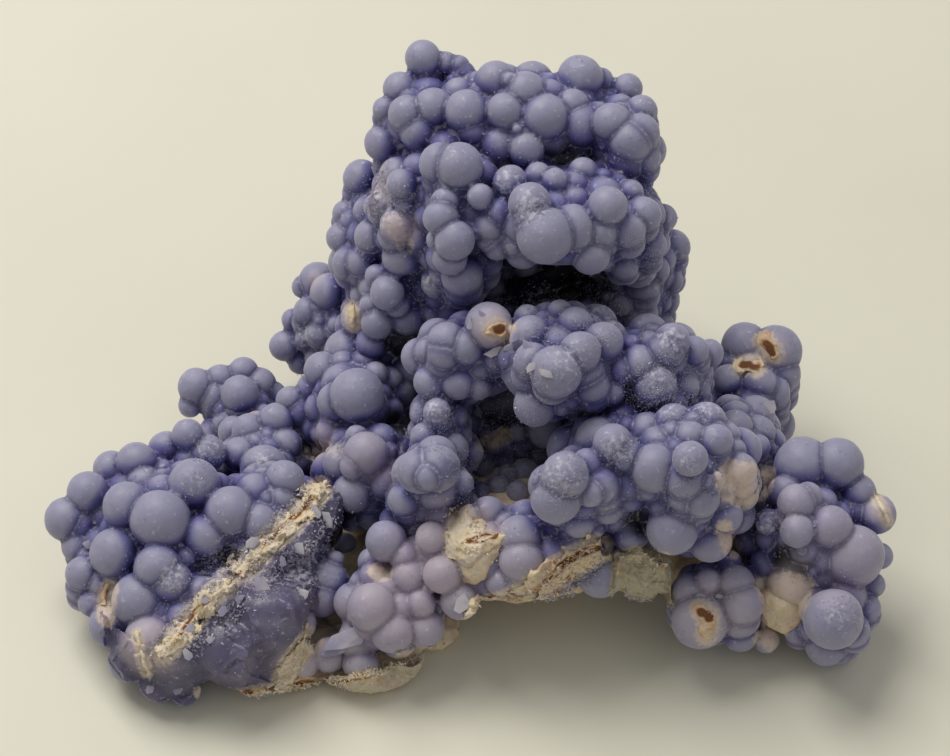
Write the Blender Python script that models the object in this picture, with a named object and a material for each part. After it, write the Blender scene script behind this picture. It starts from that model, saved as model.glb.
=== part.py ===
# Botryoidal chalcedony specimen: one crust of round grapes grown together on a pale host rock.
# Metres, +Z up. The flat cut it rests on is z = 0, and the broken front faces -Y.
import math

import bmesh
import bpy
import numpy as np
from mathutils import Vector

MM = 0.001

# The view that the grapes were read in: its size in steps, how far off it was taken and how
# steeply it looks down, what one step spans at the middle of the object, and that middle.
VIEW_MIDDLE = (475.0, 378.0)
VIEW_DISTANCE = 350.0
VIEW_ELEVATION = math.radians(48.0)
STEP = 0.127
OBJECT_MIDDLE = Vector((0.6, 30.4, 27.4))

# Each grape as it was read, in steps: column, row, radius, and for one that stands out from its
# neighbours how far it stands out in millimetres.
TOWER_CROWN = [
    (423, 58, 18, 1), (461, 68, 15), (400, 89, 17), (407, 114, 19), (433, 108, 20),
    (383, 143, 19), (392, 163, 20), (418, 132, 18), (496, 81, 20), (525, 92, 21),
    (580, 78, 23, 1.5), (602, 81, 15), (572, 106, 17), (628, 88, 15), (550, 95, 15),
    (604, 122, 20), (641, 112, 17), (630, 142, 22), (642, 157, 18), (466, 112, 22),
    (505, 112, 20), (545, 118, 24), (582, 126, 22),
]
TOWER_NOSE = [
    (441, 164, 22, 2.5), (459, 166, 24, 2), (499, 145, 19), (526, 149, 18, 1.5), (510, 182, 17, 2.5),
    (480, 197, 13, 2.5), (560, 165, 18), (585, 173, 16), (607, 206, 20, 2), (530, 205, 22),
    (545, 235, 29, 1.5), (572, 228, 24), (628, 231, 18), (643, 215, 19), (655, 270, 15),
]
TOWER_FACE = [
    (441, 218, 18, 2.5), (424, 228, 15), (455, 240, 20, 4), (450, 257, 18, 2), (462, 275, 21),
    (490, 226, 16), (485, 262, 18), (402, 256, 20), (387, 293, 17, 2), (378, 322, 17),
    (372, 236, 18), (402, 185, 16), (672, 247, 18), (663, 218, 14), (642, 284, 18),
    (590, 255, 20),
]
TOWER_FOOT = [
    (362, 178, 19), (346, 214, 15), (342, 238, 16), (350, 263, 18), (318, 281, 19),
    (330, 293, 20), (308, 312, 15), (285, 346, 16), (302, 360, 13),
]
SADDLE = [
    (347, 352, 23, 1.5), (372, 343, 16), (323, 370, 19), (357, 395, 27, 1.5), (337, 402, 20),
    (406, 371, 18), (300, 405, 17), (276, 421, 18),
]
RIDGE = [
    (447, 342, 20), (489, 326, 24, 2), (466, 347, 18), (549, 305, 19), (567, 297, 16),
    (432, 382, 19), (458, 383, 17), (595, 312, 20), (640, 314, 18), (580, 352, 21, 2.5),
    (556, 372, 26, 2.5), (552, 385, 20), (603, 342, 20), (592, 386, 18), (672, 341, 18, 2),
    (693, 352, 16), (592, 418, 24), (655, 385, 22), (530, 335, 20),
]
CAVE = [(535, 405, 22), (478, 386, 14), (465, 418, 21)]
COLUMN = [
    (437, 412, 14), (425, 437, 15), (451, 449, 18), (436, 468, 24, 1), (388, 483, 19),
    (366, 454, 22), (331, 431, 15), (352, 493, 20), (405, 500, 18),
]
FRONT = [
    (386, 524, 20), (386, 541, 21), (432, 538, 17), (410, 577, 20), (443, 574, 20),
    (488, 513, 17), (506, 481, 20), (519, 537, 22), (521, 560, 22), (460, 600, 20),
    (580, 546, 22), (600, 575, 23), (372, 607, 24), (392, 632, 21), (425, 627, 20),
]
SHOULDER = [
    (565, 475, 24, 2), (556, 499, 25, 1.5), (613, 444, 20, 2.5), (587, 465, 17), (600, 485, 20),
    (690, 459, 18, 3), (705, 409, 26, 2.5), (716, 441, 17), (735, 428, 18), (670, 406, 18),
    (655, 468, 25), (685, 478, 22), (630, 533, 19), (672, 529, 26), (710, 541, 22),
    (728, 563, 15),
]
RIGHT_ARM = [
    (754, 536, 20), (786, 493, 18, 1), (800, 501, 18), (797, 531, 17, 1.5), (803, 466, 29),
    (838, 464, 26), (858, 497, 19), (876, 514, 20), (853, 556, 31, 1), (873, 585, 14),
    (833, 619, 30, 1), (855, 628, 17), (755, 405, 20), (775, 425, 20),
]
RIGHT_BACK = [(745, 346, 24), (775, 352, 27), (775, 390, 18), (728, 380, 16)]
RIGHT_FOOT = [
    (690, 592, 19), (736, 583, 18), (700, 621, 28, 1), (742, 604, 22), (740, 634, 18),
]
LEFT_ARM = [
    (67, 519, 22), (88, 493, 21), (112, 470, 19), (137, 462, 20), (166, 449, 18),
    (188, 435, 16), (127, 506, 24), (194, 484, 26, 1.5), (222, 482, 20), (216, 433, 18),
    (246, 431, 17), (264, 469, 24), (203, 537, 22), (115, 553, 25), (80, 546, 18),
    (83, 574, 18), (92, 603, 14), (157, 567, 23, 1.5), (172, 583, 21), (230, 512, 26),
    (313, 472, 20), (285, 480, 20), (160, 520, 30),
]
LEFT_FRONT = [
    (110, 625, 22), (140, 600, 28), (130, 660, 22), (160, 680, 22), (297, 590, 20),
    (230, 650, 26), (270, 620, 28), (315, 520, 22), (300, 660, 20), (345, 655, 20),
]
LEFT_BACK = [
    (197, 387, 19), (243, 374, 16), (268, 388, 15), (215, 397, 19), (240, 394, 19),
]
GRAPES = (
    TOWER_CROWN + TOWER_NOSE + TOWER_FACE + TOWER_FOOT + SADDLE + RIDGE + CAVE + COLUMN + FRONT
    + SHOULDER + RIGHT_ARM + RIGHT_BACK + RIGHT_FOOT + LEFT_ARM + LEFT_FRONT + LEFT_BACK
)

# The inside of each lobe, which the grapes stand on: centre and half sizes in millimetres.
LOBES = {
    "crown": ((6, 60, 44), (15, 6.5, 6)),
    "crown_right": ((19.5, 56, 43), (4.5, 5, 6.5)),
    "crown_left": ((-6, 61, 42), (6, 6, 6.5)),
    "tower": ((5, 61, 22), (16, 10, 23)),
    "nose": ((12, 46, 41), (11, 7.5, 5)),
    "nose_left": ((-1, 50, 41), (4.5, 7, 5)),
    "nose_right": ((20, 48, 36), (5, 5.5, 6.5)),
    "face": ((-6, 52, 34), (7, 6, 10)),
    "face_column": ((-2, 46, 32), (4, 5, 8.5)),
    "tower_left": ((-12, 55, 26), (5.5, 7, 9)),
    "tower_right": ((21, 54, 20), (6.5, 7, 13)),
    "tower_foot": ((-18, 55, 9), (5.5, 6, 8)),
    "tower_front": ((-9, 47, 17), (8, 6, 13)),
    "valley": ((12, 47, 7), (15, 8, 10)),
    "saddle": ((-15, 38, 12), (6.5, 8, 8.5)),
    "ridge_left": ((0, 34, 27), (7.5, 4.5, 5.5)),
    "ridge": ((12, 31, 30), (8.5, 7.5, 5.5)),
    "ridge_right": ((23, 31, 26), (7.5, 6.5, 7.5)),
    "cave_back": ((8, 36, 12), (9, 3.5, 8)),
    "column": ((-5, 20, 15), (4.5, 5, 10)),
    "column_back": ((-4, 28, 16), (3.5, 5, 10)),
    "column_left": ((-13, 27, 12), (6, 5.5, 7.5)),
    "front": ((5, 12.5, 15), (12.5, 5.5, 4.5)),
    "front_left": ((-10, 9, 8), (6, 5.5, 5.5)),
    "shoulder_left": ((13, 14.5, 23), (4.5, 4.5, 6.5)),
    "shoulder": ((27, 18, 22), (8.5, 7.5, 10)),
    "shoulder_middle": ((19, 20, 20), (8, 7.5, 9.5)),
    "right_arm": ((43, 16, 11), (6.5, 7.5, 8.5)),
    "right_arm_low": ((46, 8, 7), (4.5, 5, 6)),
    "right_link": ((35, 29, 12), (5.5, 8.5, 8.5)),
    "right_back": ((37, 43, 10), (5.5, 5.5, 6.5)),
    "right_foot": ((32, 10.5, 7), (5.5, 4.5, 5.5)),
    "left_arm": ((-39, 20, 9), (9.5, 9.5, 7.5)),
    "left_tip": ((-46, 16, 7), (4.5, 7, 5)),
    "left_inner": ((-26, 20, 10), (7.5, 7.5, 7.5)),
    "left_front": ((-32, 8.5, 6), (12, 7.5, 6.5)),
    "left_back": ((-31, 43, 5), (4.5, 4.5, 4.5)),
    "left_link": ((-27, 33, 7), (5.5, 7, 6.5)),
}
# How far a grape's middle stands out of its lobe, as a share of its radius.
STANDS_OUT = 0.25

# Where no grape was read, as on the hidden sides, grapes of one size stand on the lobes.
PLAIN_RADIUS = 3.0
PLAIN_SPACING = 0.95
PLAIN_LOWEST = 2.5
SPOTS_PER_LOBE = 90

# The host rock: its lumps under the arms, behind the arch and where it shows at the front.
ROCK = {
    "middle": ((2, 33, 0), (30, 9, 9)),
    "foot_back": ((4, 50, 0), (17, 12, 8)),
    "foot_left": ((-33, 19, 0), (12, 11, 5)),
    "foot_right": ((35, 22, 0), (11, 12, 6)),
    "pit_floor": ((-14, 20, 0), (9, 9, 3)),
    "behind_arch": ((8, 24, 10), (11, 8, 5)),
    "arch_roof": ((7, 14, 12), (12, 7, 3.5)),
    "front_mass": ((0.6, 11, 17), (3.6, 4.6, 4)),
    "crumbly_patch": ((11.5, 8.5, 13), (6, 3, 3.6)),
    "quartz_block": ((21.5, 12, 12), (4, 4, 4.5)),
    "right_patch": ((40, 9.5, 8), (4, 4, 4)),
    "left_rim": ((-26, 7, 1), (10, 6.5, 2)),
}
ROCK_CRUMB = 12.0
ROCK_ROUGHNESS = 0.4
CLEARANCE = 0.4
SKIN_VOXEL = 0.6
SMALL_LUMP = 4.5
CRUST_TRIANGLES = 6600
ROCK_TRIANGLES = 900
SMALLEST_EDGE = 0.01
CUT_REACH = 90.0

# The middle of the object's own outline on the table, which becomes the part's origin.
BASE_MIDDLE = Vector((-0.4, 35.8, 0.0))

CRUST_COLOUR = (0.205, 0.195, 0.365)
ROCK_COLOUR = (0.60, 0.46, 0.29)

FORWARD = Vector((0.0, math.cos(VIEW_ELEVATION), -math.sin(VIEW_ELEVATION)))
VIEW_UP = Vector((0.0, math.sin(VIEW_ELEVATION), math.cos(VIEW_ELEVATION)))
EYE = OBJECT_MIDDLE - VIEW_DISTANCE * FORWARD
SIGHT_NEAREST = 280.0
SIGHT_FARTHEST = 420.0
SIGHT_STEP = 0.25


def clear_scene():
    for obj in list(bpy.data.objects):
        bpy.data.objects.remove(obj, do_unlink=True)


def material(name, colour, roughness):
    mat = bpy.data.materials.new(name)
    mat.use_nodes = True
    shader = mat.node_tree.nodes["Principled BSDF"]
    shader.inputs["Base Color"].default_value = (*colour, 1.0)
    shader.inputs["Roughness"].default_value = roughness
    shader.inputs["Metallic"].default_value = 0.0
    mat.diffuse_color = (*colour, 1.0)
    return mat


def lobe_depth(points):
    """How deep each point lies in the nearest lobe: 1 on its skin, and less inside."""
    centres = np.array([centre for centre, _ in LOBES.values()])
    halves = np.array([half for _, half in LOBES.values()])
    return np.linalg.norm((points[:, None] - centres[None]) / halves[None], axis=2)


def placed(grape):
    """Follow the line of sight through a grape to where it first meets a lobe, or passes nearest."""
    column, row, radius = grape[:3]
    lift = grape[3] if len(grape) > 3 else 0.0
    across = Vector(((column - VIEW_MIDDLE[0]) * STEP, 0.0, 0.0))
    sight = VIEW_DISTANCE * FORWARD + across + (VIEW_MIDDLE[1] - row) * STEP * VIEW_UP
    sight.normalize()
    reach = np.arange(SIGHT_NEAREST, SIGHT_FARTHEST, SIGHT_STEP)
    depth = lobe_depth(np.array(EYE) + reach[:, None] * np.array(sight)).min(axis=1)
    inside = np.flatnonzero(depth <= 1.0)
    meets = reach[inside[0]] if len(inside) else reach[np.argmin(depth)]
    size = radius * STEP * meets / VIEW_DISTANCE
    return EYE + sight * (meets - lift - STANDS_OUT * size), size


def plain_grapes(read):
    """Spread grapes over each lobe by the golden angle, wherever there is room for one."""
    taken = list(read)
    found = []
    for index, (centre, half) in enumerate(LOBES.values()):
        for spot in golden_spots(centre, half):
            depth = lobe_depth(np.array([spot]))[0]
            depth[index] = 1.0
            if spot.z < PLAIN_LOWEST or depth.min() < 0.97:
                continue
            if all((spot - other).length > PLAIN_SPACING * (PLAIN_RADIUS + size) for other, size in taken):
                found.append((spot, PLAIN_RADIUS))
                taken.append(found[-1])
    return found


def golden_spots(centre, half):
    turn = math.pi * (3.0 - math.sqrt(5.0))
    for step in range(SPOTS_PER_LOBE):
        up = 1.0 - 2.0 * (step + 0.5) / SPOTS_PER_LOBE
        ring = math.sqrt(1.0 - up * up)
        way = (math.cos(step * turn) * ring, math.sin(step * turn) * ring, up)
        yield Vector([centre[i] + way[i] * half[i] for i in range(3)])


def ball(bm, centre, half, detail):
    """Add one ball or ellipsoid, sizes in millimetres."""
    made = bmesh.ops.create_icosphere(bm, subdivisions=detail, radius=1.0)
    for vert in made["verts"]:
        vert.co = Vector([centre[i] + vert.co[i] * half[i] for i in range(3)]) * MM


def mesh_object(name, bm):
    mesh = bpy.data.meshes.new(name)
    bm.to_mesh(mesh)
    bm.free()
    obj = bpy.data.objects.new(name, mesh)
    bpy.context.scene.collection.objects.link(obj)
    return obj


def apply_modifiers(obj):
    evaluated = obj.evaluated_get(bpy.context.evaluated_depsgraph_get())
    mesh = bpy.data.meshes.new_from_object(evaluated)
    obj.modifiers.clear()
    obj.data = mesh


def cut(first, others, solver):
    """Take others away from first, and leave one mesh behind."""
    group = bpy.data.collections.new("cutters")
    bpy.context.scene.collection.children.link(group)
    for obj in others:
        group.objects.link(obj)
    mod = first.modifiers.new("cut", "BOOLEAN")
    mod.operand_type = "COLLECTION"
    mod.collection = group
    mod.operation = "DIFFERENCE"
    mod.solver = solver
    apply_modifiers(first)
    for obj in others:
        bpy.data.objects.remove(obj, do_unlink=True)
    bpy.data.collections.remove(group)


def below_table():
    """A block that takes away everything below the resting face."""
    bm = bmesh.new()
    bmesh.ops.create_cube(bm, size=CUT_REACH * 2 * MM)
    bmesh.ops.translate(bm, verts=bm.verts, vec=(0, 0.4 * CUT_REACH * MM, -CUT_REACH * MM))
    return mesh_object("below_table", bm)


def sorted_mesh(mesh):
    """The same mesh with its corners and faces in order, so that each run numbers them alike."""
    order = sorted(range(len(mesh.vertices)), key=lambda index: tuple(mesh.vertices[index].co))
    place = {index: rank for rank, index in enumerate(order)}
    faces = []
    for polygon in mesh.polygons:
        loop = [place[index] for index in polygon.vertices]
        start = loop.index(min(loop))
        faces.append(loop[start:] + loop[:start])
    new = bpy.data.meshes.new(mesh.name)
    new.from_pydata([mesh.vertices[index].co for index in order], [], sorted(faces))
    return new


def keep_largest(obj):
    """Drop the loose chips that a cut leaves, so that one body stays."""
    bm = bmesh.new()
    bm.from_mesh(obj.data)
    bodies = []
    left = set(bm.verts)
    while left:
        body = set()
        stack = [left.pop()]
        while stack:
            vert = stack.pop()
            body.add(vert)
            for edge in vert.link_edges:
                other = edge.other_vert(vert)
                if other in left:
                    left.remove(other)
                    stack.append(other)
        bodies.append(body)
    bodies.sort(key=len)
    for body in bodies[:-1]:
        bmesh.ops.delete(bm, geom=list(body), context="VERTS")
    bmesh.ops.remove_doubles(bm, verts=bm.verts, dist=SMALLEST_EDGE * MM)
    bmesh.ops.triangulate(bm, faces=bm.faces)
    bm.to_mesh(obj.data)
    bm.free()


def finished(obj, name, mat):
    obj.data = sorted_mesh(obj.data)
    keep_largest(obj)
    for vert in obj.data.vertices:
        vert.co -= BASE_MIDDLE * MM
    obj.name = name
    obj.data.name = name
    obj.data.materials.append(mat)


def grown_together(name, lumps, triangles):
    """One skin over all the lumps, thinned to about the triangles given."""
    bm = bmesh.new()
    for centre, half in lumps:
        ball(bm, centre, half, 4 if min(half) > SMALL_LUMP else 3)
    obj = mesh_object(name, bm)
    skin = obj.modifiers.new("skin", "REMESH")
    skin.mode = "VOXEL"
    skin.voxel_size = SKIN_VOXEL * MM
    apply_modifiers(obj)
    obj.data = sorted_mesh(obj.data)
    thin = obj.modifiers.new("thin", "DECIMATE")
    thin.ratio = triangles / (2 * len(obj.data.polygons))
    apply_modifiers(obj)
    return obj


def crumble(obj):
    """Make the rock uneven with three waves that don't repeat together."""
    for vert in obj.data.vertices:
        x, y, z = vert.co / MM / ROCK_CRUMB
        waves = (math.sin(5.1 * y + 2.3 * z), math.sin(4.3 * z + 3.1 * x), math.sin(6.7 * x - 2.9 * y))
        vert.co += Vector(waves) * ROCK_ROUGHNESS * MM


def room_for(rock):
    """The rock grown by CLEARANCE on every side, which the crust leaves free."""
    mesh = rock.data.copy()
    grown = [vert.co + vert.normal * CLEARANCE * MM for vert in mesh.vertices]
    for vert, spot in zip(mesh.vertices, grown):
        vert.co = spot
    room = bpy.data.objects.new("room", mesh)
    bpy.context.scene.collection.objects.link(room)
    return room


def make_rock():
    rock = grown_together("matrix", ROCK.values(), ROCK_TRIANGLES)
    crumble(rock)
    room = room_for(rock)
    cut(rock, [below_table()], "EXACT")
    finished(rock, "matrix", material("host_rock", ROCK_COLOUR, 0.9))
    return room


def make_crust(room):
    read = [placed(grape) for grape in GRAPES]
    plain = plain_grapes(read)
    grapes = [(centre, [size] * 3) for centre, size in read + plain]
    crust = grown_together("crust", list(LOBES.values()) + grapes, CRUST_TRIANGLES)
    cut(crust, [below_table(), room], "MANIFOLD")
    finished(crust, "chalcedony_crust", material("purple_chalcedony", CRUST_COLOUR, 0.4))
    print(len(read), "grapes read,", len(plain), "plain,", len(crust.data.polygons), "triangles")


clear_scene()
make_crust(make_rock())
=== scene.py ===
import math

import bmesh
import bpy
import numpy as np
from mathutils import Matrix, Vector


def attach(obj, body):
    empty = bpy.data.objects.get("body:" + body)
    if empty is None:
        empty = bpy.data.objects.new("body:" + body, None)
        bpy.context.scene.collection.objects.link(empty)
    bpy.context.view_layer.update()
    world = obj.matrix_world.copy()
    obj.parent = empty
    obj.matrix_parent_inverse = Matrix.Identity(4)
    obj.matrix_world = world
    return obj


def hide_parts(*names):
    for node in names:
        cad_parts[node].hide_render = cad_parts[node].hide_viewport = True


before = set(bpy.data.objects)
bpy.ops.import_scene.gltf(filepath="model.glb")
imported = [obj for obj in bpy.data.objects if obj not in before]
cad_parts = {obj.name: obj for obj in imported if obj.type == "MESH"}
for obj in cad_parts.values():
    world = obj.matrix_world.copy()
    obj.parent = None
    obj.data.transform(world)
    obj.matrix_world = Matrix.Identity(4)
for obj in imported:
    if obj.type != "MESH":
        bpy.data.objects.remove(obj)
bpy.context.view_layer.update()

mm = 0.001

# The view that the grapes were read in, in millimetres and in the steps of its own grid.
sight = {
    "middle": (475.0, 378.0),
    "distance": 350.0,
    "elevation": math.radians(48.0),
    "step": 0.127,
    "objectMiddle": (0.6, 30.4, 27.4),
    "nearest": 280.0,
    "farthest": 420.0,
    "stride": 0.2,
    "width": 950,
    "height": 756,
    "spare": 2.0,
    "sensor": 36.0,
}
# The frame's origin lies here, in the millimetres that the lobes below are given in.
baseMiddle = np.array([-0.4, 35.8, 0.0])

# The inside of each lobe, as in the solid: centre and half sizes in millimetres.
lobes = {
    "tower": [
        ((6, 60, 44), (15, 6.5, 6)),
        ((19.5, 56, 43), (4.5, 5, 6.5)),
        ((-6, 61, 42), (6, 6, 6.5)),
        ((5, 61, 22), (16, 10, 23)),
        ((12, 46, 41), (11, 7.5, 5)),
        ((-1, 50, 41), (4.5, 7, 5)),
        ((20, 48, 36), (5, 5.5, 6.5)),
        ((-6, 52, 34), (7, 6, 10)),
        ((-2, 46, 32), (4, 5, 8.5)),
        ((-12, 55, 26), (5.5, 7, 9)),
        ((21, 54, 20), (6.5, 7, 13)),
        ((-18, 55, 9), (5.5, 6, 8)),
        ((-9, 47, 17), (8, 6, 13)),
        ((12, 47, 7), (15, 8, 10)),
    ],
    "ridge": [
        ((-15, 38, 12), (6.5, 8, 8.5)),
        ((0, 34, 27), (7.5, 4.5, 5.5)),
        ((12, 31, 30), (8.5, 7.5, 5.5)),
        ((23, 31, 26), (7.5, 6.5, 7.5)),
        ((8, 36, 12), (9, 3.5, 8)),
        ((-5, 20, 15), (4.5, 5, 10)),
        ((-4, 28, 16), (3.5, 5, 10)),
        ((-13, 27, 12), (6, 5.5, 7.5)),
    ],
    "front": [
        ((5, 12.5, 15), (12.5, 5.5, 4.5)),
        ((-10, 9, 8), (6, 5.5, 5.5)),
        ((13, 14.5, 23), (4.5, 4.5, 6.5)),
        ((27, 18, 22), (8.5, 7.5, 10)),
        ((19, 20, 20), (8, 7.5, 9.5)),
    ],
    "rightArm": [
        ((43, 16, 11), (6.5, 7.5, 8.5)),
        ((46, 8, 7), (4.5, 5, 6)),
        ((35, 29, 12), (5.5, 8.5, 8.5)),
        ((37, 43, 10), (5.5, 5.5, 6.5)),
        ((32, 10.5, 7), (5.5, 4.5, 5.5)),
    ],
    "leftArm": [
        ((-39, 20, 9), (9.5, 9.5, 7.5)),
        ((-46, 16, 7), (4.5, 7, 5)),
        ((-26, 20, 10), (7.5, 7.5, 7.5)),
        ((-32, 8.5, 6), (12, 7.5, 6.5)),
        ((-31, 43, 5), (4.5, 4.5, 4.5)),
        ((-27, 33, 7), (5.5, 7, 6.5)),
    ],
}

# Every grape that was read: column, row and radius in the view's steps, and how far it stands
# out in millimetres where it does.
grapes = [
    # tower, the crown
    (423, 58, 18, 1), (445, 63, 12), (458, 67, 12), (464, 74, 12), (400, 89, 17), (385, 110, 13),
    (407, 114, 19), (433, 108, 20), (383, 143, 19), (392, 163, 20), (496, 81, 20, 0.5), (525, 92, 21),
    (580, 78, 23, 1.5), (600, 81, 14), (628, 88, 15), (550, 93, 14), (572, 106, 17), (597, 120, 18),
    (612, 123, 20), (641, 112, 17), (630, 142, 22), (642, 157, 18), (505, 112, 20), (545, 118, 24),
    (582, 126, 22), (466, 112, 22), (418, 132, 18), (640, 133, 20), (433, 75, 14),
    (452, 80, 6, 1.5), (509, 80, 8, 3),
    # tower, the nose
    (446, 148, 18, 1), (441, 164, 22, 2.5), (459, 166, 24, 2), (472, 132, 15), (499, 145, 19),
    (526, 149, 18, 1.5), (494, 163, 9, 1), (510, 182, 17, 2.5), (480, 197, 13, 2.5), (560, 165, 18),
    (555, 181, 13, 1), (583, 172, 15), (603, 177, 9), (619, 183, 9), (607, 206, 20, 2),
    (530, 204, 22, 2.5), (533, 219, 20, 2), (545, 235, 29, 1.5), (572, 228, 24), (600, 231, 18),
    (628, 231, 18), (643, 215, 19), (652, 245, 15), (655, 270, 15), (608, 266, 6, 2), (630, 193, 14),
    (500, 213, 15), (538, 176, 14), (517, 129, 5, 2),
    # tower, its right side and face
    (663, 218, 14), (672, 247, 18), (672, 280, 12), (642, 284, 18), (625, 266, 14), (590, 255, 20),
    (445, 203, 15, 1), (427, 216, 14), (441, 218, 18, 2.5), (420, 236, 14), (439, 240, 13, 2),
    (455, 240, 20, 4), (450, 257, 18, 2), (462, 275, 21), (490, 226, 16), (497, 246, 15),
    (485, 262, 18), (492, 284, 14), (425, 285, 15), (402, 256, 20), (377, 276, 12, 2),
    (387, 293, 17, 2), (397, 304, 13, 1), (371, 305, 12), (378, 322, 17), (433, 312, 13),
    (372, 236, 18), (402, 185, 16), (405, 205, 10), (398, 225, 18),
    # tower, its left slope
    (362, 178, 19), (356, 193, 14), (346, 214, 14), (342, 238, 16), (380, 203, 13), (350, 263, 18),
    (318, 281, 19), (304, 287, 12), (335, 283, 17), (330, 293, 20), (347, 297, 8, 1), (308, 312, 15),
    (285, 346, 16), (293, 320, 12), (305, 338, 10), (300, 362, 13), (362, 262, 16),
    # saddle
    (338, 325, 11), (347, 352, 23, 1.5), (372, 343, 16), (323, 370, 19), (357, 395, 27, 1.5),
    (337, 402, 20), (391, 379, 13), (406, 371, 18), (400, 390, 15), (376, 374, 12), (312, 388, 15),
    (290, 400, 14), (300, 412, 16), (276, 421, 18), (263, 414, 10), (300, 430, 18),
    # ridge
    (438, 323, 12), (447, 342, 20), (472, 315, 12), (489, 326, 24, 2), (466, 347, 18), (445, 352, 18),
    (498, 357, 15), (507, 308, 9, 1), (527, 318, 14), (549, 305, 19), (567, 297, 16), (560, 312, 12, 1),
    (432, 382, 19), (458, 383, 17), (595, 312, 20), (610, 295, 9), (622, 302, 14), (640, 314, 18),
    (580, 352, 21, 2.5), (556, 372, 26, 2.5), (533, 362, 20, 1), (552, 385, 20, 1), (585, 372, 20),
    (603, 342, 20, 1), (611, 392, 14), (592, 386, 18), (631, 346, 12), (672, 341, 18, 2),
    (666, 350, 18, 1), (660, 326, 15), (693, 352, 16), (710, 353, 14), (640, 365, 20), (592, 418, 24),
    (620, 370, 16), (655, 385, 22), (530, 335, 20), (575, 325, 18),
    # caves and columns
    (535, 405, 22), (545, 428, 20), (519, 430, 12), (528, 443, 6), (508, 444, 9), (478, 386, 14),
    (437, 412, 14), (465, 418, 21), (478, 413, 5, 1.5), (425, 437, 15), (451, 449, 18),
    (448, 449, 6, 2.2), (420, 471, 23, 1), (436, 468, 24, 1), (428, 476, 14, 3), (443, 469, 11, 3),
    (460, 484, 14), (388, 483, 19), (366, 454, 22), (353, 466, 13, 1), (331, 431, 15), (352, 493, 20),
    (357, 437, 12), (405, 500, 18),
    # front
    (383, 524, 19), (397, 521, 18), (386, 541, 21), (372, 562, 14), (440, 517, 14), (432, 538, 17),
    (418, 530, 12), (405, 556, 16), (410, 577, 20), (443, 574, 20), (420, 603, 16), (471, 518, 14),
    (488, 513, 17), (503, 480, 20), (517, 487, 17), (519, 537, 22), (521, 560, 22), (500, 582, 14),
    (460, 600, 20), (580, 546, 22), (600, 575, 23), (327, 580, 22), (372, 607, 24), (392, 632, 21),
    (357, 640, 20), (425, 627, 20), (360, 663, 18), (322, 597, 20), (470, 556, 14), (620, 556, 14),
    # shoulder
    (565, 475, 24, 2), (556, 499, 25, 1.5), (590, 493, 14, 1), (613, 444, 20, 2.5), (625, 454, 18, 2),
    (587, 465, 17), (600, 485, 20), (690, 459, 18, 3), (705, 409, 26, 2.5), (716, 441, 17),
    (735, 428, 18), (670, 406, 18), (655, 468, 25), (685, 478, 22), (630, 533, 19), (672, 529, 26),
    (710, 541, 22), (726, 515, 17), (728, 563, 14), (630, 480, 20), (700, 497, 20),
    (707, 482, 6, 2), (717, 476, 5, 2), (712, 487, 6, 2),
    # right arm and the lump behind it
    (754, 541, 19), (754, 524, 17), (768, 522, 13, 2), (786, 493, 18, 1), (797, 503, 19, 2),
    (808, 497, 15, 2), (797, 531, 17, 1.5), (803, 466, 29), (838, 464, 26), (858, 492, 18),
    (855, 511, 18), (876, 514, 20), (880, 556, 13), (853, 556, 31, 1), (830, 527, 22), (873, 585, 13),
    (866, 608, 15), (833, 619, 30, 1), (853, 630, 17), (799, 630, 15), (758, 447, 13), (775, 425, 20),
    (755, 405, 20), (740, 470, 18), (745, 346, 24), (775, 352, 27), (781, 374, 20), (773, 393, 17),
    (728, 380, 16), (760, 385, 18), (802, 550, 5, 1), (813, 571, 6),
    # right foot
    (690, 592, 19), (708, 582, 14), (736, 583, 18), (700, 621, 28, 1), (742, 604, 22), (740, 634, 18),
    (766, 609, 15), (766, 640, 13),
    # left arm
    (67, 519, 22), (83, 527, 18), (88, 493, 21, 1.2), (112, 470, 19, -1.6), (137, 462, 20, 1),
    (166, 449, 18, -2), (188, 435, 16, 1), (127, 506, 24, 0.5), (194, 484, 26, 1.5),
    (216, 490, 18), (224, 478, 23),
    (207, 453, 19), (216, 433, 18, -1.6), (234, 432, 16, 0.8), (249, 430, 17, -1.2),
    (188, 462, 13), (264, 469, 24, 0.5),
    (203, 537, 22), (115, 553, 25), (80, 546, 18), (83, 574, 18), (92, 603, 14), (157, 567, 23, 1.5),
    (170, 582, 22, 1), (185, 557, 12), (230, 512, 26), (313, 472, 20), (285, 480, 20), (160, 520, 30),
    (240, 455, 18),
    # left front
    (110, 625, 22), (140, 600, 28), (130, 660, 22), (160, 680, 22), (150, 640, 26), (182, 645, 22),
    (320, 505, 22), (300, 540, 18), (297, 590, 20), (260, 560, 20), (220, 600, 22), (185, 690, 16),
    (230, 650, 26), (270, 620, 28), (255, 675, 22), (300, 660, 20), (330, 655, 18),
    # left back
    (197, 387, 19), (220, 380, 16), (243, 372, 15), (260, 385, 17), (274, 393, 12), (215, 397, 19),
    (240, 394, 19), (190, 406, 12),
]
standsOut = 0.25

# Grapes between and behind those, largest first: radius in millimetres, how close they may stand
# and how far their middles lie under the lobe's skin, both as shares of the radii.
between = {
    "kinds": ((3.7, 1.35, 0.3), (3.0, 0.95, 0.35), (2.4, 0.66, 0.45), (1.9, 0.57, 0.5), (1.5, 0.55, 0.5)),
    "lowest": 1.4,
    "shared": 0.94,
    "spotArea": 1.2,
    "spread": 0.14,
    "seed": 5,
}
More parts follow.
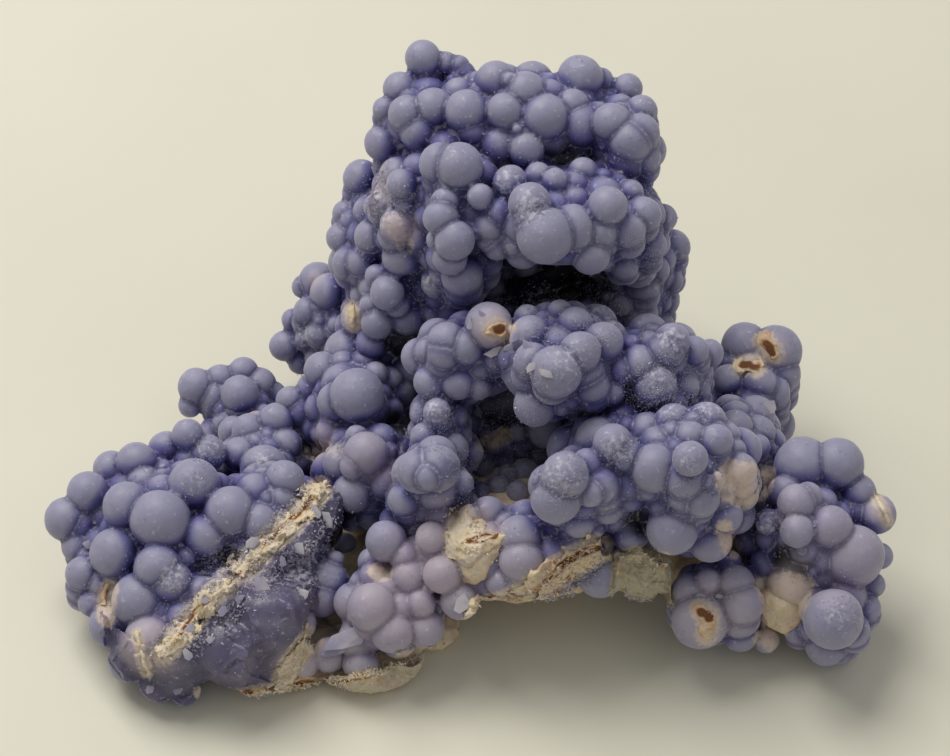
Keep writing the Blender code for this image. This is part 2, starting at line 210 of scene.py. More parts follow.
# Pockets between the grapes, kept clear of small ones and darkened towards black as painted shade:
# column, row, radius, strength.
hollows = [
    (405, 342, 24, 0.9), (402, 425, 22, 0.8), (512, 398, 44, 1.0), (560, 274, 44, 0.9), (540, 428, 34, 0.9),
    (600, 282, 26, 0.8), (520, 285, 26, 0.8), (335, 532, 32, 1.0), (790, 562, 24, 0.9),
    (470, 345, 12, 0.4), (560, 155, 30, 0.2), (455, 400, 14, 0.7), (640, 520, 22, 0.5),
    (440, 212, 14, 0.6), (480, 505, 14, 0.5), (385, 300, 18, 0.6), (650, 290, 20, 0.6),
]
hollowClear = 0.8
# Drusy grapes standing low in the middle cave and the left one: column, row, radius.
caveGrapes = [
    (484, 468, 14), (506, 458, 13), (524, 472, 14), (498, 486, 12), (472, 452, 12), (538, 456, 12),
    (518, 492, 12), (480, 492, 11), (540, 480, 10), (495, 444, 10), (520, 446, 11), (508, 474, 10),
    (326, 520, 12), (345, 545, 12), (335, 560, 10), (322, 548, 9), (350, 522, 10),
]
caveRise = 0.25
# Under each read grape a short stack of others leads down into the mass.
stacks = {"most": 3, "drop": 0.85, "lean": 0.22, "shrink": 0.94, "outside": 1.02, "lowest": 0.9, "seed": 11}
# Slow and fine unevenness of every grape: size of its bumps and their height in millimetres.
uneven = {"bumps": ((3.2, 0.1), (0.9, 0.03)), "seed": 61}
skin = {
    "voxel": {"tower": 0.42, "ridge": 0.36, "front": 0.35, "rightArm": 0.36, "leftArm": 0.37},
    "creaseSnap": 0.12,
    "creaseWidth": 0.25,
    "stray": 0.6,
    "reach": 1.5,
}


# A hex sRGB colour as the linear numbers that a shader takes.
def linear(hexColour):
    values = [int(hexColour[i : i + 2], 16) / 255.0 for i in (1, 3, 5)]
    return [v / 12.92 if v <= 0.04045 else ((v + 0.055) / 1.055) ** 2.4 for v in values] + [1.0]


def unit(vectors):
    return vectors / np.maximum(np.linalg.norm(vectors, axis=-1, keepdims=True), 1e-12)


def eased(values):
    values = np.clip(values, 0.0, 1.0)
    return values * values * (3.0 - 2.0 * values)


# The eight corners of a cell, and how much each counts at a place within it.
def cellCorners(part):
    for corner in range(8):
        step = np.array([corner & 1, corner >> 1 & 1, corner >> 2 & 1])
        yield step, np.prod(np.where(step == 1, part, 1.0 - part), axis=1)


# Smooth noise from -1 to 1 over points, with bumps about size apart. The large numbers only
# scatter the bits of each corner's place.
def latticeNoise(points, size, seed):
    place = points / size
    cell = np.floor(place).astype(np.int64)
    part = place - cell
    part = part * part * (3.0 - 2.0 * part)
    total = np.zeros(len(points))
    for step, weight in cellCorners(part):
        x, y, z = (cell + step).T
        mixed = (x * 73856093) ^ (y * 19349663) ^ (z * 83492791) ^ (seed * 40503)
        mixed = (mixed * 2654435761) & 0xFFFFFFFF
        mixed = ((mixed >> 15) ^ mixed) * 2246822519 & 0xFFFFFFFF
        total += weight * (mixed / 0xFFFFFFFF * 2.0 - 1.0)
    return total


def layeredNoise(points, size, seed, layers=3):
    return sum(latticeNoise(points, size / 2**k, seed + k) / 2**k for k in range(layers))


# The eye, the way it looks and up in its view, in the lobes' millimetres.
def sightLines():
    tilt = sight["elevation"]
    forward = np.array([0.0, math.cos(tilt), -math.sin(tilt)])
    up = np.array([0.0, math.sin(tilt), math.cos(tilt)])
    eye = np.array(sight["objectMiddle"]) - sight["distance"] * forward
    return eye, forward, up


eye, forward, viewUp = sightLines()
lobeList = [lobe for group in lobes.values() for lobe in group]
lobeCentres = np.array([centre for centre, half in lobeList], float)
lobeHalves = np.array([half for centre, half in lobeList], float)
lobeRegion = [name for name, group in lobes.items() for lobe in group]


def sightThrough(columns, rows):
    across = (np.asarray(columns, float)[..., None] - sight["middle"][0]) * sight["step"]
    rise = (sight["middle"][1] - np.asarray(rows, float)[..., None]) * sight["step"]
    return unit(sight["distance"] * forward + across * np.array([1.0, 0.0, 0.0]) + rise * viewUp)


# Where points in millimetres fall in the photograph's frame, and how many steps a millimetre is.
def inView(points):
    away = points - eye
    scale = sight["distance"] / sight["step"] / (away @ forward)
    column = sight["middle"][0] + away[..., 0] * scale
    return column, sight["middle"][1] - (away @ viewUp) * scale, scale


# The millimetres that so many steps of the view span at a distance from the eye.
def spanAt(steps, reach):
    return steps * sight["step"] * reach / sight["distance"]


# For each point and lobe, 1 on the lobe's skin and less inside it.
def lobeDepth(points):
    return np.linalg.norm((points[:, None] - lobeCentres) / lobeHalves, axis=2)


# Where a line of sight first meets a lobe, or passes nearest one, how far off, and which.
def onLobes(column, row):
    way = sightThrough(column, row)
    reach = np.arange(sight["nearest"], sight["farthest"], sight["stride"])
    depth = lobeDepth(eye + reach[:, None] * way)
    inside = np.flatnonzero(depth.min(axis=1) <= 1.0)
    pick = inside[0] if len(inside) else int(np.argmin(depth.min(axis=1)))
    return reach[pick], way, int(np.argmin(depth[pick]))


def readBalls():
    balls = []
    for column, row, radius, *lift in grapes:
        reach, way, lobe = onLobes(column, row)
        size = spanAt(radius, reach)
        centre = eye + way * (reach - (lift[0] if lift else 0.0) - standsOut * size)
        balls.append((*centre, size, lobe))
    return np.array(balls)


def stackedBalls(read):
    rng = np.random.default_rng(stacks["seed"])
    balls = []
    for x, y, z, size, lobe in read:
        for step in range(int(rng.integers(1, stacks["most"] + 1))):
            lean = rng.uniform(-1.0, 1.0, 2) * stacks["lean"] * size
            x, y, z = x + lean[0], y + lean[1], z - stacks["drop"] * size
            size *= stacks["shrink"]
            inside = lobeDepth(np.array([[x, y, z]])).min()
            if z < size * stacks["lowest"] or inside > stacks["outside"]:
                break
            balls.append((x, y, z, size, lobe))
    return np.vstack([read, balls])


# Candidate spots over every lobe's open skin, spread by the golden angle and shuffled.
def lobeSpots(rng):
    turn = math.pi * (3.0 - math.sqrt(5.0))
    spots = []
    for index, (centre, half) in enumerate(zip(lobeCentres, lobeHalves)):
        area = 4.0 * math.pi * (half[0] * half[1] + half[1] * half[2] + half[0] * half[2]) / 3.0
        steps = np.arange(int(area / between["spotArea"]))
        rise = 1.0 - 2.0 * (steps + 0.5) / len(steps)
        ring = np.sqrt(1.0 - rise * rise)
        way = np.stack([np.cos(steps * turn) * ring, np.sin(steps * turn) * ring, rise], axis=1)
        points = centre + way * half
        depth = lobeDepth(points)
        depth[:, index] = 2.0
        keep = (depth.min(axis=1) > between["shared"]) & (points[:, 2] > between["lowest"])
        normal = unit(way / half)
        spots.append(np.column_stack([points, normal, np.full(len(points), index)])[keep])
    spots = np.vstack(spots)
    rng.shuffle(spots)
    return spots


def inHollow(centre):
    column, row = inView(centre)[:2]
    return any(math.hypot(column - x, row - y) < size * hollowClear for x, y, size, dark in hollows)


# Add the cave's own grapes on top of whatever is seen there.
def withCaveGrapes(balls, seen):
    more = []
    for column, row, radius in caveGrapes:
        reach = seen[row, column]
        size = spanAt(radius, reach)
        centre = eye + sightThrough(column, row) * (reach + caveRise * size)
        more.append((*centre, size, lobeDepth(centre[None]).argmin()))
    return np.vstack([balls, more])


def betweenBalls(balls):
    rng = np.random.default_rng(between["seed"])
    spots = lobeSpots(rng)
    taken = np.zeros((len(balls) + len(spots), 5))
    taken[: len(balls)] = balls
    count = len(balls)
    for radius, room, sink in between["kinds"]:
        for spot in spots:
            size = radius * (1.0 + between["spread"] * rng.uniform(-1.0, 1.0))
            centre = spot[:3] - spot[3:6] * size * sink
            gap = np.linalg.norm(taken[:count, :3] - centre, axis=1)
            if (gap < (taken[:count, 3] + size) * room).any() or inHollow(centre):
                continue
            taken[count] = (*centre, size, spot[6])
            count += 1
    return taken[:count]


# Every ball and lobe, by its centre and half sizes.
def ballsAndLobes(balls):
    return [(ball[:3], np.repeat(ball[3], 3)) for ball in balls] + list(zip(lobeCentres, lobeHalves))


# How far the eye sees along every line of the photograph's frame before it meets something.
def seenDistances(balls):
    rows, columns = sight["height"], sight["width"]
    seen = np.full((rows, columns), np.inf)
    solids = ballsAndLobes(balls)
    solids += [(np.array(centre, float), np.array(half, float)) for centre, half in rock["lumps"]]
    for centre, half in solids:
        column, row, scale = inView(centre)
        wide = half.max() * scale + sight["spare"]
        top, left = max(int(row - wide), 0), max(int(column - wide), 0)
        low, right = min(int(row + wide) + 1, rows), min(int(column + wide) + 1, columns)
        if top >= low or left >= right:
            continue
        across, down = np.meshgrid(np.arange(left, right), np.arange(top, low))
        way = sightThrough(across, down) / half
        start = (eye - centre) / half
        a = (way * way).sum(axis=-1)
        b = way @ start
        inside = b * b - a * (start @ start - 1.0)
        reach = (-b - np.sqrt(np.maximum(inside, 0.0))) / a
        reach[inside < 0.0] = np.inf
        part = seen[top:low, left:right]
        np.minimum(part, reach, out=part)
    return seen


def meshObject(name, vertices, faces):
    mesh = bpy.data.meshes.new(name)
    mesh.from_pydata(vertices, [], faces)
    obj = bpy.data.objects.new(name, mesh)
    bpy.context.scene.collection.objects.link(obj)
    return obj


# Keep what the modifiers make as the object's own mesh.
def applied(obj):
    evaluated = obj.evaluated_get(bpy.context.evaluated_depsgraph_get())
    mesh = bpy.data.meshes.new_from_object(evaluated)
    obj.modifiers.clear()
    obj.data = mesh
    return obj


def floatAttribute(mesh, name, values):
    layer = mesh.attributes.get(name) or mesh.attributes.new(name, "FLOAT", "POINT")
    layer.data.foreach_set("value", np.asarray(values, np.float32))


def cornerArray(mesh, what):
    values = np.empty(len(mesh.vertices) * 3, np.float32)
    mesh.vertices.foreach_get(what, values)
    return values.reshape(-1, 3).astype(float)


# Write the points, in the lobes' millimetres, as the object's corners in the frame's metres.
def intoFrame(obj, points):
    obj.data.vertices.foreach_set("co", ((points - baseMiddle) * mm).ravel().astype(np.float32))
    obj.data.update()
    obj.data.shade_smooth()


# One node with its settings; an input given as another node's output is linked to it.
def addNode(tree, kind, inputs=None, **settings):
    node = tree.nodes.new(kind)
    for name, value in settings.items():
        setattr(node, name, value)
    for name, value in (inputs or {}).items():
        if isinstance(value, bpy.types.NodeSocket):
            tree.links.new(value, node.inputs[name])
        elif isinstance(value, str) and value.startswith("#"):
            node.inputs[name].default_value = linear(value)
        else:
            node.inputs[name].default_value = value
    return node.outputs


# A node tree that puts a shape on every point, scaled and turned by the point's own attributes.
def instancingTree(name, shapeKind, shapeInputs, finish=None):
    tree = bpy.data.node_groups.new(name, "GeometryNodeTree")
    tree.interface.new_socket("Points", in_out="INPUT", socket_type="NodeSocketGeometry")
    shapeSize = tree.interface.new_socket("Shape size", in_out="INPUT", socket_type="NodeSocketFloat")
    shapeSize.default_value = 1.0
    tree.interface.new_socket("Geometry", in_out="OUTPUT", socket_type="NodeSocketGeometry")
    source = addNode(tree, "NodeGroupInput")
    named = addNode(tree, "GeometryNodeInputNamedAttribute", {"Name": "size"}, data_type="FLOAT")
    size = named["Attribute"]
    scale = addNode(tree, "ShaderNodeMath", {0: size, 1: source["Shape size"]}, operation="MULTIPLY")[0]
    turn = addNode(
        tree, "FunctionNodeRandomValue", {"Min": (0, 0, 0), "Max": (6.28, 6.28, 6.28), "Seed": 3},
        data_type="FLOAT_VECTOR",
    )["Value"]
    shape = addNode(tree, shapeKind, shapeInputs)["Mesh"]
    placed = addNode(
        tree, "GeometryNodeInstanceOnPoints",
        {"Points": source["Points"], "Instance": shape, "Rotation": turn, "Scale": scale},
    )["Instances"]
    whole = addNode(tree, "GeometryNodeRealizeInstances", {"Geometry": placed})["Geometry"]
    whole = addNode(tree, "GeometryNodeSetMaterial", {"Geometry": whole, "Material": finish})["Geometry"]
    addNode(tree, "NodeGroupOutput", {"Geometry": whole})
    return tree


# One object with the tree's shape on every point.
def instanced(name, points, sizes, tree):
    obj = meshObject(name, points.tolist(), [])
    floatAttribute(obj.data, "size", sizes)
    obj.modifiers.new("instances", "NODES").node_group = tree
    return applied(obj)


# Add the region's lobes to its balls, so that the skin has no hollow inside.
def addLobes(obj, group):
    bm = bmesh.new()
    bm.from_mesh(obj.data)
    for centre, half in group:
        place = Matrix.Translation(centre) @ Matrix.Diagonal((*half, 1.0))
        bmesh.ops.create_icosphere(bm, subdivisions=4, radius=1.0, matrix=place)
    bm.to_mesh(obj.data)
    bm.free()


def voxelSkin(obj, voxel):
    mod = obj.modifiers.new("skin", "REMESH")
    mod.mode = "VOXEL"
    mod.voxel_size = voxel
    return applied(obj)


# For each point the two nearest skins: how far they are and which ball or lobe each one is.
def nearestTwo(points, balls, group):
    far = np.full((2, len(points)), 1e3)
    which = np.zeros((2, len(points)), np.int64)

    def offer(chosen, gap, index):
        first = gap < far[0, chosen]
        second = ~first & (gap < far[1, chosen])
        moved = chosen[first]
        far[1, moved] = far[0, moved]
        which[1, moved] = which[0, moved]
        far[0, moved] = gap[first]
        which[0, moved] = index
        far[1, chosen[second]] = gap[second]
        which[1, chosen[second]] = index

    order = np.argsort(points[:, 0])
    along = points[order, 0]
    for index, (x, y, z, size) in enumerate(balls[:, :4]):
        reach = size + skin["reach"]
        low, high = np.searchsorted(along, (x - reach, x + reach))
        chosen = order[low:high]
        near = np.abs(points[chosen, 1:] - (y, z)).max(axis=1) < reach
        chosen = chosen[near]
        gap = np.linalg.norm(points[chosen] - (x, y, z), axis=1) - size
        offer(chosen, gap, index)
    everyPoint = np.arange(len(points))
    for index, (centre, half) in enumerate(group):
        place = (points - centre) / half
        depth = np.linalg.norm(place, axis=1)
        slope = np.linalg.norm(place / half, axis=1)
        offer(everyPoint, depth * (depth - 1.0) / np.maximum(slope, 1e-6), len(balls) + index)
    return far, which


# Move each point straight on to the ball or lobe it belongs to.
def ontoSkin(points, which, balls, group):
    centres = np.vstack([balls[:, :3], [centre for centre, half in group]])
    halves = np.vstack([np.repeat(balls[:, 3:4], 3, axis=1), [half for centre, half in group]])
    return centres[which] + unit((points - centres[which]) / halves[which]) * halves[which]


# Round every grape exactly, and pull the points beside a crease into it.
def sharpened(points, balls, group):
    far, which = nearestTwo(points, balls, group)
    moved = ontoSkin(points, which[0], balls, group)
    gap = far[1] - far[0]
    beside = np.flatnonzero((gap < skin["creaseSnap"]) & (which.max(axis=0) < len(balls)))
    for turn in (1, 0, 1, 0):
        moved[beside] = ontoSkin(moved[beside], which[turn][beside], balls, group)
    stray = np.linalg.norm(moved - points, axis=1) > skin["stray"]
    moved[stray] = points[stray]
    return moved, gap, which[0]


# How crowded each place is, as a coarse grid blurred narrowly and widely, in millimetres. The grapes'
# colours darken with it as painted shade.
crowding = {
    "corner": (-56.0, -4.0, 0.0),
    "box": (112.0, 80.0, 56.0),
    "margin": 14.0,
    "cell": 1.0,
    "near": 2.2,
    "wide": 6.0,
    "table": 0.3,
}


def solidGrid(balls):
    low = np.array(crowding["corner"]) - crowding["margin"]
    shape = (np.array(crowding["box"]) + 2 * crowding["margin"]) / crowding["cell"]
    shape = shape.astype(int)
    grid = np.zeros(shape, np.float32)
    for centre, half in ballsAndLobes(balls):
        start = np.maximum(((centre - half - low) / crowding["cell"]).astype(int), 0)
        stop = np.minimum(((centre + half - low) / crowding["cell"]).astype(int) + 2, shape)
        axes = [low[i] + (np.arange(start[i], stop[i]) + 0.5) * crowding["cell"] for i in range(3)]
        x, y, z = np.meshgrid(*axes, indexing="ij")
        depth = sum(((value - centre[i]) / half[i]) ** 2 for i, value in enumerate((x, y, z)))
        part = grid[start[0] : stop[0], start[1] : stop[1], start[2] : stop[2]]
        part[depth <= 1.0] = 1.0
    # The table counts as partly solid, so this painted shade also falls on the grapes near it.
    grid[:, :, : int(crowding["margin"] / crowding["cell"])] = crowding["table"]
    return low, grid


# Smooth a grid with a bell curve of this width in cells.
def blurred(grid, width):
    out = np.fft.rfftn(grid)
    for axis, count in enumerate(grid.shape):
        last = axis == grid.ndim - 1
        waves = np.fft.rfftfreq(count) if last else np.fft.fftfreq(count)
        bell = np.exp(-2.0 * (math.pi * width * waves) ** 2)
        out *= bell.reshape([-1 if axis == i else 1 for i in range(grid.ndim)])
    return np.fft.irfftn(out, grid.shape)


def sampled(low, grid, points):
    place = (points - low) / crowding["cell"] - 0.5
    cell = np.clip(np.floor(place).astype(int), 0, np.array(grid.shape) - 2)
    part = np.clip(place - cell, 0.0, 1.0)
    total = np.zeros(len(points))
    for step, weight in cellCorners(part):
        x, y, z = (cell + step).T
        total += weight * grid[x, y, z]
    return total


# Chalky and frosted places on the grapes: column, row, radius in steps, strength.
chalkSpots = [
    (400, 600, 60, 0.55), (440, 560, 60, 0.6), (375, 460, 40, 0.3), (340, 640, 50, 0.45),
    (715, 612, 50, 0.4), (850, 560, 60, 0.25), (800, 500, 50, 0.2), (520, 570, 40, 0.35),
    (475, 530, 34, 0.8), (440, 545, 20, 0.5), (560, 590, 30, 0.4), (745, 482, 24, 0.6),
    (783, 598, 34, 0.7), (497, 329, 26, 0.7), (770, 350, 22, 0.5), (705, 613, 18, 0.5),
    (715, 596, 22, 0.6), (880, 510, 16, 0.7), (325, 445, 26, 0.6), (355, 318, 16, 0.5),
    (400, 232, 22, 0.6), (378, 190, 26, 0.6), (260, 412, 16, 0.5), (300, 660, 34, 0.6),
    (150, 645, 34, 0.6), (107, 600, 18, 0.5), (728, 540, 16, 0.5), (645, 560, 24, 0.5),
    (315, 280, 14, 0.5), (345, 650, 30, 0.5), (250, 570, 24, 0.5), (430, 620, 26, 0.4),
]
frostSpots = [
    (510, 182, 18, 0.9), (530, 205, 20, 1.0), (672, 342, 18, 1.0), (768, 522, 18, 0.8),
    (560, 478, 30, 0.7), (305, 338, 16, 0.7), (380, 200, 26, 0.8), (425, 285, 18, 0.7),
    (436, 412, 22, 0.8), (500, 468, 24, 0.9), (208, 450, 18, 0.7), (600, 312, 30, 0.6),
    (660, 390, 36, 0.6), (175, 575, 18, 0.9), (194, 484, 12, 0.5), (616, 450, 20, 0.8),
    (690, 457, 14, 0.8), (570, 360, 24, 0.7), (540, 300, 20, 0.5), (705, 405, 20, 0.7),
    (240, 570, 40, 0.7), (300, 570, 30, 0.8), (840, 615, 20, 0.5), (262, 461, 12, 0.8),
]


spotEdge = {"whole": 1.6, "fall": 1.3}


def spotShare(points, spots, seen):
    share = np.zeros(len(points))
    for column, row, radius, strength in spots:
        reach = seen[row, column]
        if not np.isfinite(reach):
            continue
        middle = eye + sightThrough(column, row) * reach
        size = spanAt(radius, reach)
        away = np.linalg.norm(points - middle, axis=1) / size
        share = np.maximum(share, strength * eased(spotEdge["whole"] - spotEdge["fall"] * away))
    return share


# How near each seen point is to a rock patch: 1 inside its outline, 0 a halo's width away.
def haloShare(points, seen):
    column, row = inView(points)[:2]
    across = np.clip(column.astype(int), 0, seen.shape[1] - 1)
    down = np.clip(row.astype(int), 0, seen.shape[0] - 1)
    behind = np.linalg.norm(points - eye, axis=1) - seen[down, across]
    share = np.zeros(len(points))
    for patch in patches.values():
        if patch["kind"] == "purple":
            continue
        low, high = patchBounds(patch, patch["halo"])
        close = (column > low[0]) & (column < high[0]) & (row > low[1]) & (row < high[1])
        close = np.flatnonzero(close & (behind < patchGrid["through"]))
        edge = patchEdge(column[close], row[close], patch)
        share[close] = np.maximum(share[close], eased(1.0 + edge / patch["halo"]) * patch["tint"])
    return share


# What the grapes' material reads at each point, besides its tone and crease: chalk, frost, the
# hollows' painted shade, the rock patches' halos and the crowding that its painted shade follows.
def addShares(mesh, points, normals, crowds, seen):
    for name, spots in (("chalk", chalkSpots), ("frost", frostSpots), ("shade", hollows)):
        floatAttribute(mesh, name, spotShare(points, spots, seen))
    floatAttribute(mesh, "halo", haloShare(points, seen))
    for name, (low, grid) in crowds.items():
        floatAttribute(mesh, name, sampled(low, grid, points + normals * crowding["cell"]))


def grapePiece(region, balls, crowds, seen, finish):
    group = lobes[region]
    mine = balls[[lobeRegion[int(lobe)] == region for lobe in balls[:, 4]]]
    ball = {"Radius": 1.0, "Subdivisions": 3}
    tree = instancingTree(region + "Balls", "GeometryNodeMeshIcoSphere", ball)
    obj = instanced("grapes" + region[0].upper() + region[1:], mine[:, :3], mine[:, 3], tree)
    addLobes(obj, group)
    voxelSkin(obj, skin["voxel"][region])
    points, gap, owner = sharpened(cornerArray(obj.data, "co"), mine, group)
    normals = cornerArray(obj.data, "normal")
    for bump, height in uneven["bumps"]:
        points += normals * latticeNoise(points, bump, uneven["seed"])[:, None] * height
    points[:, 2] = np.maximum(points[:, 2], 0.0)
    tones = np.random.default_rng(len(mine)).uniform(0.0, 1.0, len(mine) + len(group))
    floatAttribute(obj.data, "tone", tones[owner])
    # The crease share paints shade beside each crease and a pale highlight line along it.
    floatAttribute(obj.data, "crease", np.exp(-gap / skin["creaseWidth"]))
    addShares(obj.data, points, normals, crowds, seen)
    intoFrame(obj, points)
    dressed(obj, finish, "chalcedony_crust", "chalcedony")
    print(obj.name, sum(len(face.vertices) - 2 for face in obj.data.polygons), "triangles")


def dressed(obj, finish, node, slot):
    obj.data.materials.clear()
    obj.data.materials.append(finish)
    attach(obj, "root")
    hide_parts(node)


# The host rock's lumps, as in the solid.
rock = {
    "lumps": [
        ((2, 33, 0), (30, 9, 9)),
        ((4, 50, 0), (17, 12, 8)),
        ((-33, 19, 0), (12, 11, 5)),
        ((35, 22, 0), (11, 12, 6)),
        ((-14, 20, 0), (9, 9, 3)),
        ((8, 24, 9), (10, 7, 3.5)),
        ((7, 14, 12), (12, 7, 3.5)),
        ((0.6, 11, 17), (3.6, 4.6, 4)),
        ((21.5, 12, 12), (4, 4, 4.5)),
        ((40, 9.5, 8), (4, 4, 4)),
        ((-26, 7, 1), (10, 6.5, 2)),
        ((-24, 6.2, 1.2), (10, 4.5, 1.6)),
        ((-13, 5.4, 1.4), (7, 5.2, 1.8)),
        ((-6, 10.5, 1.4), (5, 4, 2.0)),
    ],
    "voxel": 0.45,
    "crumb": 1.8,
    "relief": 0.55,
    "sunk": 0.4,
    "seed": 21,
    "rust": {"middle": 0.25, "spread": 0.3, "size": 5.0, "seed": 27},
    "khakiEdge": {"whole": 2.0, "fall": 1.5},
    "khakiBlock": (21.5, 12, 12),
    "khakiReach": 7.0,
}


def rockPiece(finish, seen):
    obj = meshObject("hostRock", [], [])
    addLobes(obj, rock["lumps"])
    voxelSkin(obj, rock["voxel"])
    points = cornerArray(obj.data, "co")
    normals = cornerArray(obj.data, "normal")
    crumbs = layeredNoise(points, rock["crumb"], rock["seed"])[:, None]
    points += normals * (crumbs - rock["sunk"]) * rock["relief"]
    points[:, 2] = np.maximum(points[:, 2], 0.0)
    floatAttribute(obj.data, "fissure", np.zeros(len(points)))
    rust = rock["rust"]
    rusty = rust["middle"] + rust["spread"] * latticeNoise(points, rust["size"], rust["seed"])
    floatAttribute(obj.data, "rust", rusty)
    away = np.linalg.norm(points - rock["khakiBlock"], axis=1) / rock["khakiReach"]
    khaki = eased(rock["khakiEdge"]["whole"] - rock["khakiEdge"]["fall"] * away)
    floatAttribute(obj.data, "khaki", khaki)
    # Painted shade: the rock darkens towards black in the listed hollows.
    floatAttribute(obj.data, "shade", spotShare(points, hollows, seen))
    intoFrame(obj, points)
    dressed(obj, finish, "matrix", "host_rock")


